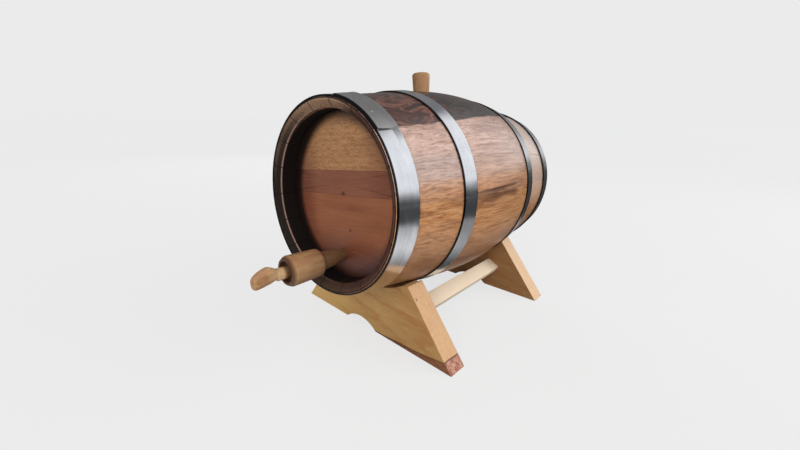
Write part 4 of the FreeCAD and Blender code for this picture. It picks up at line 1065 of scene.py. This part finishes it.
# slats, cut at the front to the turned inner face of the front board
face = FRONT_BOARD @ Vector((0, THICK, 0))
for side, name in ((-1, "left_stretcher"), (1, "right_stretcher")):
    w, hgt, b = 20.0, 10.0, 0.9
    rings, grain = [], []
    a = math.radians(27.5)
    cx = side * (48.0 + w / 2 * math.cos(a) - hgt / 2 * math.sin(a))
    cz = 45.4 - w / 2 * math.sin(a) - hgt / 2 * math.cos(a)
    base_loop = []
    for sx, sz, q in ((1, 1, 0), (-1, 1, 90), (-1, -1, 180), (1, -1, 270)):
        for i in range(5):
            t = math.radians(q + 90.0 * i / 4)
            base_loop.append((sx * (w / 2 - b) + b * math.cos(t), sz * (hgt / 2 - b) + b * math.sin(t)))
    for f in [0.0, 0.002] + list(np.linspace(0.08, 0.92, 11)) + [0.998, 1.0]:
        ring = []
        for p in base_loop:
            x = cx + p[0] * math.cos(a) + side * p[1] * math.sin(a)
            y0 = face.y - (x - face.x) * math.tan(math.radians(1.6))
            y = y0 + f * (217.0 - y0)
            ring.append((p[0], y, p[1]))
            grain.append((p[0] * 0.1 + 5.0 * side, y * 0.1, p[1] * 0.1 + 3.0))
        rings.append(ring)
    verts, faces = loft(rings, True, True, True)
    at = STAND @ Matrix.Translation((cx, 0, cz)) @ rot("Y", side * 27.5)
    piece(name + "_planed", verts, faces, at, "cradle", PINE_BAR, name,
          grain=grain, extra={"ends": np.zeros(len(verts))}, sharp=40)

for name in ("front_head_dowels", "rear_head_dowels", "stretcher_dowels"):
    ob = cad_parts[name]
    ob.data.materials.clear()
    ob.data.materials.append(DOWEL)

# ------------------------------------------------------------ floor, camera
me = bpy.data.meshes.new("floor")
s = 30.0
FLOOR_GLOW = 0.716
me.from_pydata([(-s, -s, 0), (s, -s, 0), (s, s, 0), (-s, s, 0)], [], [(0, 1, 2, 3)])
fm = Nodes("floor_paper")
tc = fm.node("ShaderNodeTexCoord")
fn = fm.noise(tc.outputs["Object"], 3.0, 2.0)
lp = fm.node("ShaderNodeLightPath")
# seen straight on the paper is a light sweep with a soft shade under the
# object; to the object it is a quieter floor
quiet = fm.mix(fn, (0.38, 0.38, 0.38), (0.40, 0.40, 0.40))
quiet = fm.mix(lp.outputs["Is Glossy Ray"], quiet, (0.02, 0.02, 0.02))
fm.set(color=fm.mix(lp.outputs["Is Camera Ray"], quiet, fm.mix(fn, (0.12, 0.12, 0.12), (0.125, 0.125, 0.125))),
       rough=0.9, spec=0.1)
glow = fm.node("ShaderNodeEmission")
glow.inputs[0].default_value = (1.0, 1.0, 1.0, 1)
spot = fm.vmath("LENGTH", tc.outputs["Object"])
spot = fm.t.nodes[-1].outputs["Value"]
# to glossy rays the paper round the object glows as a bright sheet, a painted reflection that the hoops and the
# varnish pick up
sheet = fm.math("MULTIPLY", fm.remap(spot, 0.42, 0.48, 0.80, 0.05, True), fm.remap(spot, 0.09, 0.22, 0.08, 1.0, True))
back = fm.split(tc.outputs["Object"])[1]
sheet = fm.math("MULTIPLY", sheet, fm.remap(back, -0.02, 0.16, 1.0, 0.34, True))
sheet = fm.math("MULTIPLY", lp.outputs["Is Glossy Ray"], sheet)
seen = fm.remap(spot, 0.4, 3.5, FLOOR_GLOW, 0.757, True)
fm.put(glow.inputs[1], fm.math("ADD", fm.math("MULTIPLY", lp.outputs["Is Camera Ray"], seen), sheet))
both = fm.node("ShaderNodeAddShader")
fm.put(both.inputs[0], fm.bsdf.outputs[0])
fm.put(both.inputs[1], glow.outputs[0])
fm.put(fm.out.inputs[0], both.outputs[0])
me.materials.append(fm.mat)
floor = bpy.data.objects.new("floor", me)
bpy.context.scene.collection.objects.link(floor)

cam = bpy.data.cameras.new("camera")
cam.sensor_width, cam.lens = 36.0, 16.007
cam.clip_start, cam.clip_end = 0.01, 100.0
co = bpy.data.objects.new("camera", cam)
right = Vector((0.74636, 0.66523, 0.0205)).normalized()
fwd = Vector((-0.63181, 0.71788, -0.29235)).normalized()
up = right.cross(fwd).normalized()
right = fwd.cross(up).normalized()
co.matrix_world = Matrix(((right.x, up.x, -fwd.x, 0.28843),
                          (right.y, up.y, -fwd.y, (-270.15 + SHIFT) * MM),
                          (right.z, up.z, -fwd.z, 0.25751),
                          (0, 0, 0, 1)))
bpy.context.scene.collection.objects.link(co)
bpy.context.scene.camera = co

# ---------------------------------------------------------------- lighting
WINDOW, ROOM_FRONT, KEY, FILL, SIDE = 0.80, 0.35, 19.0, 26.0, 11.0
world = bpy.data.worlds.new("studio")
bpy.context.scene.world = world
world.use_nodes = True
wt = world.node_tree
wt.nodes.clear()
out = wt.nodes.new("ShaderNodeOutputWorld")
tc = wt.nodes.new("ShaderNodeTexCoord")
sep = wt.nodes.new("ShaderNodeSeparateXYZ")
wt.links.new(tc.outputs["Generated"], sep.inputs[0])


def wmath(op, a, b=0.0):
    n = wt.nodes.new("ShaderNodeMath")
    n.operation = op
    for i, v in enumerate((a, b)):
        if isinstance(v, bpy.types.NodeSocket):
            wt.links.new(v, n.inputs[i])
        else:
            n.inputs[i].default_value = v
    return n.outputs[0]


def wstep(v, a, b, c=0.0, d=1.0):
    n = wt.nodes.new("ShaderNodeMapRange")
    n.interpolation_type = "SMOOTHSTEP"
    wt.links.new(v, n.inputs[0])
    for i, x in enumerate((a, b, c, d)):
        n.inputs[i + 1].default_value = x
    return n.outputs[0]


# a wide soft window behind and to the right of the object, up to 53 degrees
# high, a dimmer room round it and a pale wall in front
azim = wmath("ARCTAN2", sep.outputs[0], sep.outputs[1])
elev = wmath("ARCSINE", sep.outputs[2])
window = wmath("MULTIPLY", wstep(azim, -0.16, 0.12), wstep(azim, 1.75, 2.2, 1.0, 0.0))
window = wmath("MULTIPLY", window, wmath("MULTIPLY", wstep(elev, 0.04, 0.14), wstep(elev, 0.86, 0.96, 1.0, 0.0)))
room = wmath("ADD", 0.22, wstep(sep.outputs[1], -0.1, -0.6, 0.0, ROOM_FRONT))
light = wmath("ADD", room, wmath("MULTIPLY", window, WINDOW))
soft = wt.nodes.new("ShaderNodeBackground")
soft.inputs[0].default_value = (0.97, 0.985, 1.0, 1)
wt.links.new(light, soft.inputs[1])
seen = wt.nodes.new("ShaderNodeBackground")
seen.inputs[0].default_value = (0.83, 0.83, 0.83, 1)
seen.inputs[1].default_value = 1.0
lp = wt.nodes.new("ShaderNodeLightPath")
mx = wt.nodes.new("ShaderNodeMixShader")
wt.links.new(lp.outputs["Is Camera Ray"], mx.inputs[0])
wt.links.new(soft.outputs[0], mx.inputs[1])
wt.links.new(seen.outputs[0], mx.inputs[2])
wt.links.new(mx.outputs[0], out.inputs[0])


def area(name, place, aim, size, power, color=(1, 1, 1)):
    d = bpy.data.lights.new(name, "AREA")
    d.shape, d.size, d.size_y = "RECTANGLE", size[0], size[1]
    d.energy, d.color = power, color
    o = bpy.data.objects.new(name, d)
    o.location = place
    o.rotation_euler = (Vector(aim) - Vector(place)).to_track_quat("-Z", "Y").to_euler()
    bpy.context.scene.collection.objects.link(o)
    return o


key = area("key", (1.5, 1.0, 1.0), (0.0, 0.0, 0.15), (1.4, 1.2), KEY, (1.0, 0.985, 0.965))
fill = area("fill", (0.9, -1.65, 0.95), (0.0, -0.05, 0.15), (1.4, 0.9), FILL, (1.0, 0.985, 0.96))
side = area("side", (-1.5, 0.9, 1.1), (0.0, 0.0, 0.15), (1.4, 1.0), SIDE, (0.985, 0.99, 1.0))
for lamp in (key, fill, side):
    lamp.visible_glossy = False

vs = bpy.context.scene.view_settings
vs.view_transform = "Standard"
vs.look = "None"
vs.exposure = 0.0
vs.gamma = 1.0
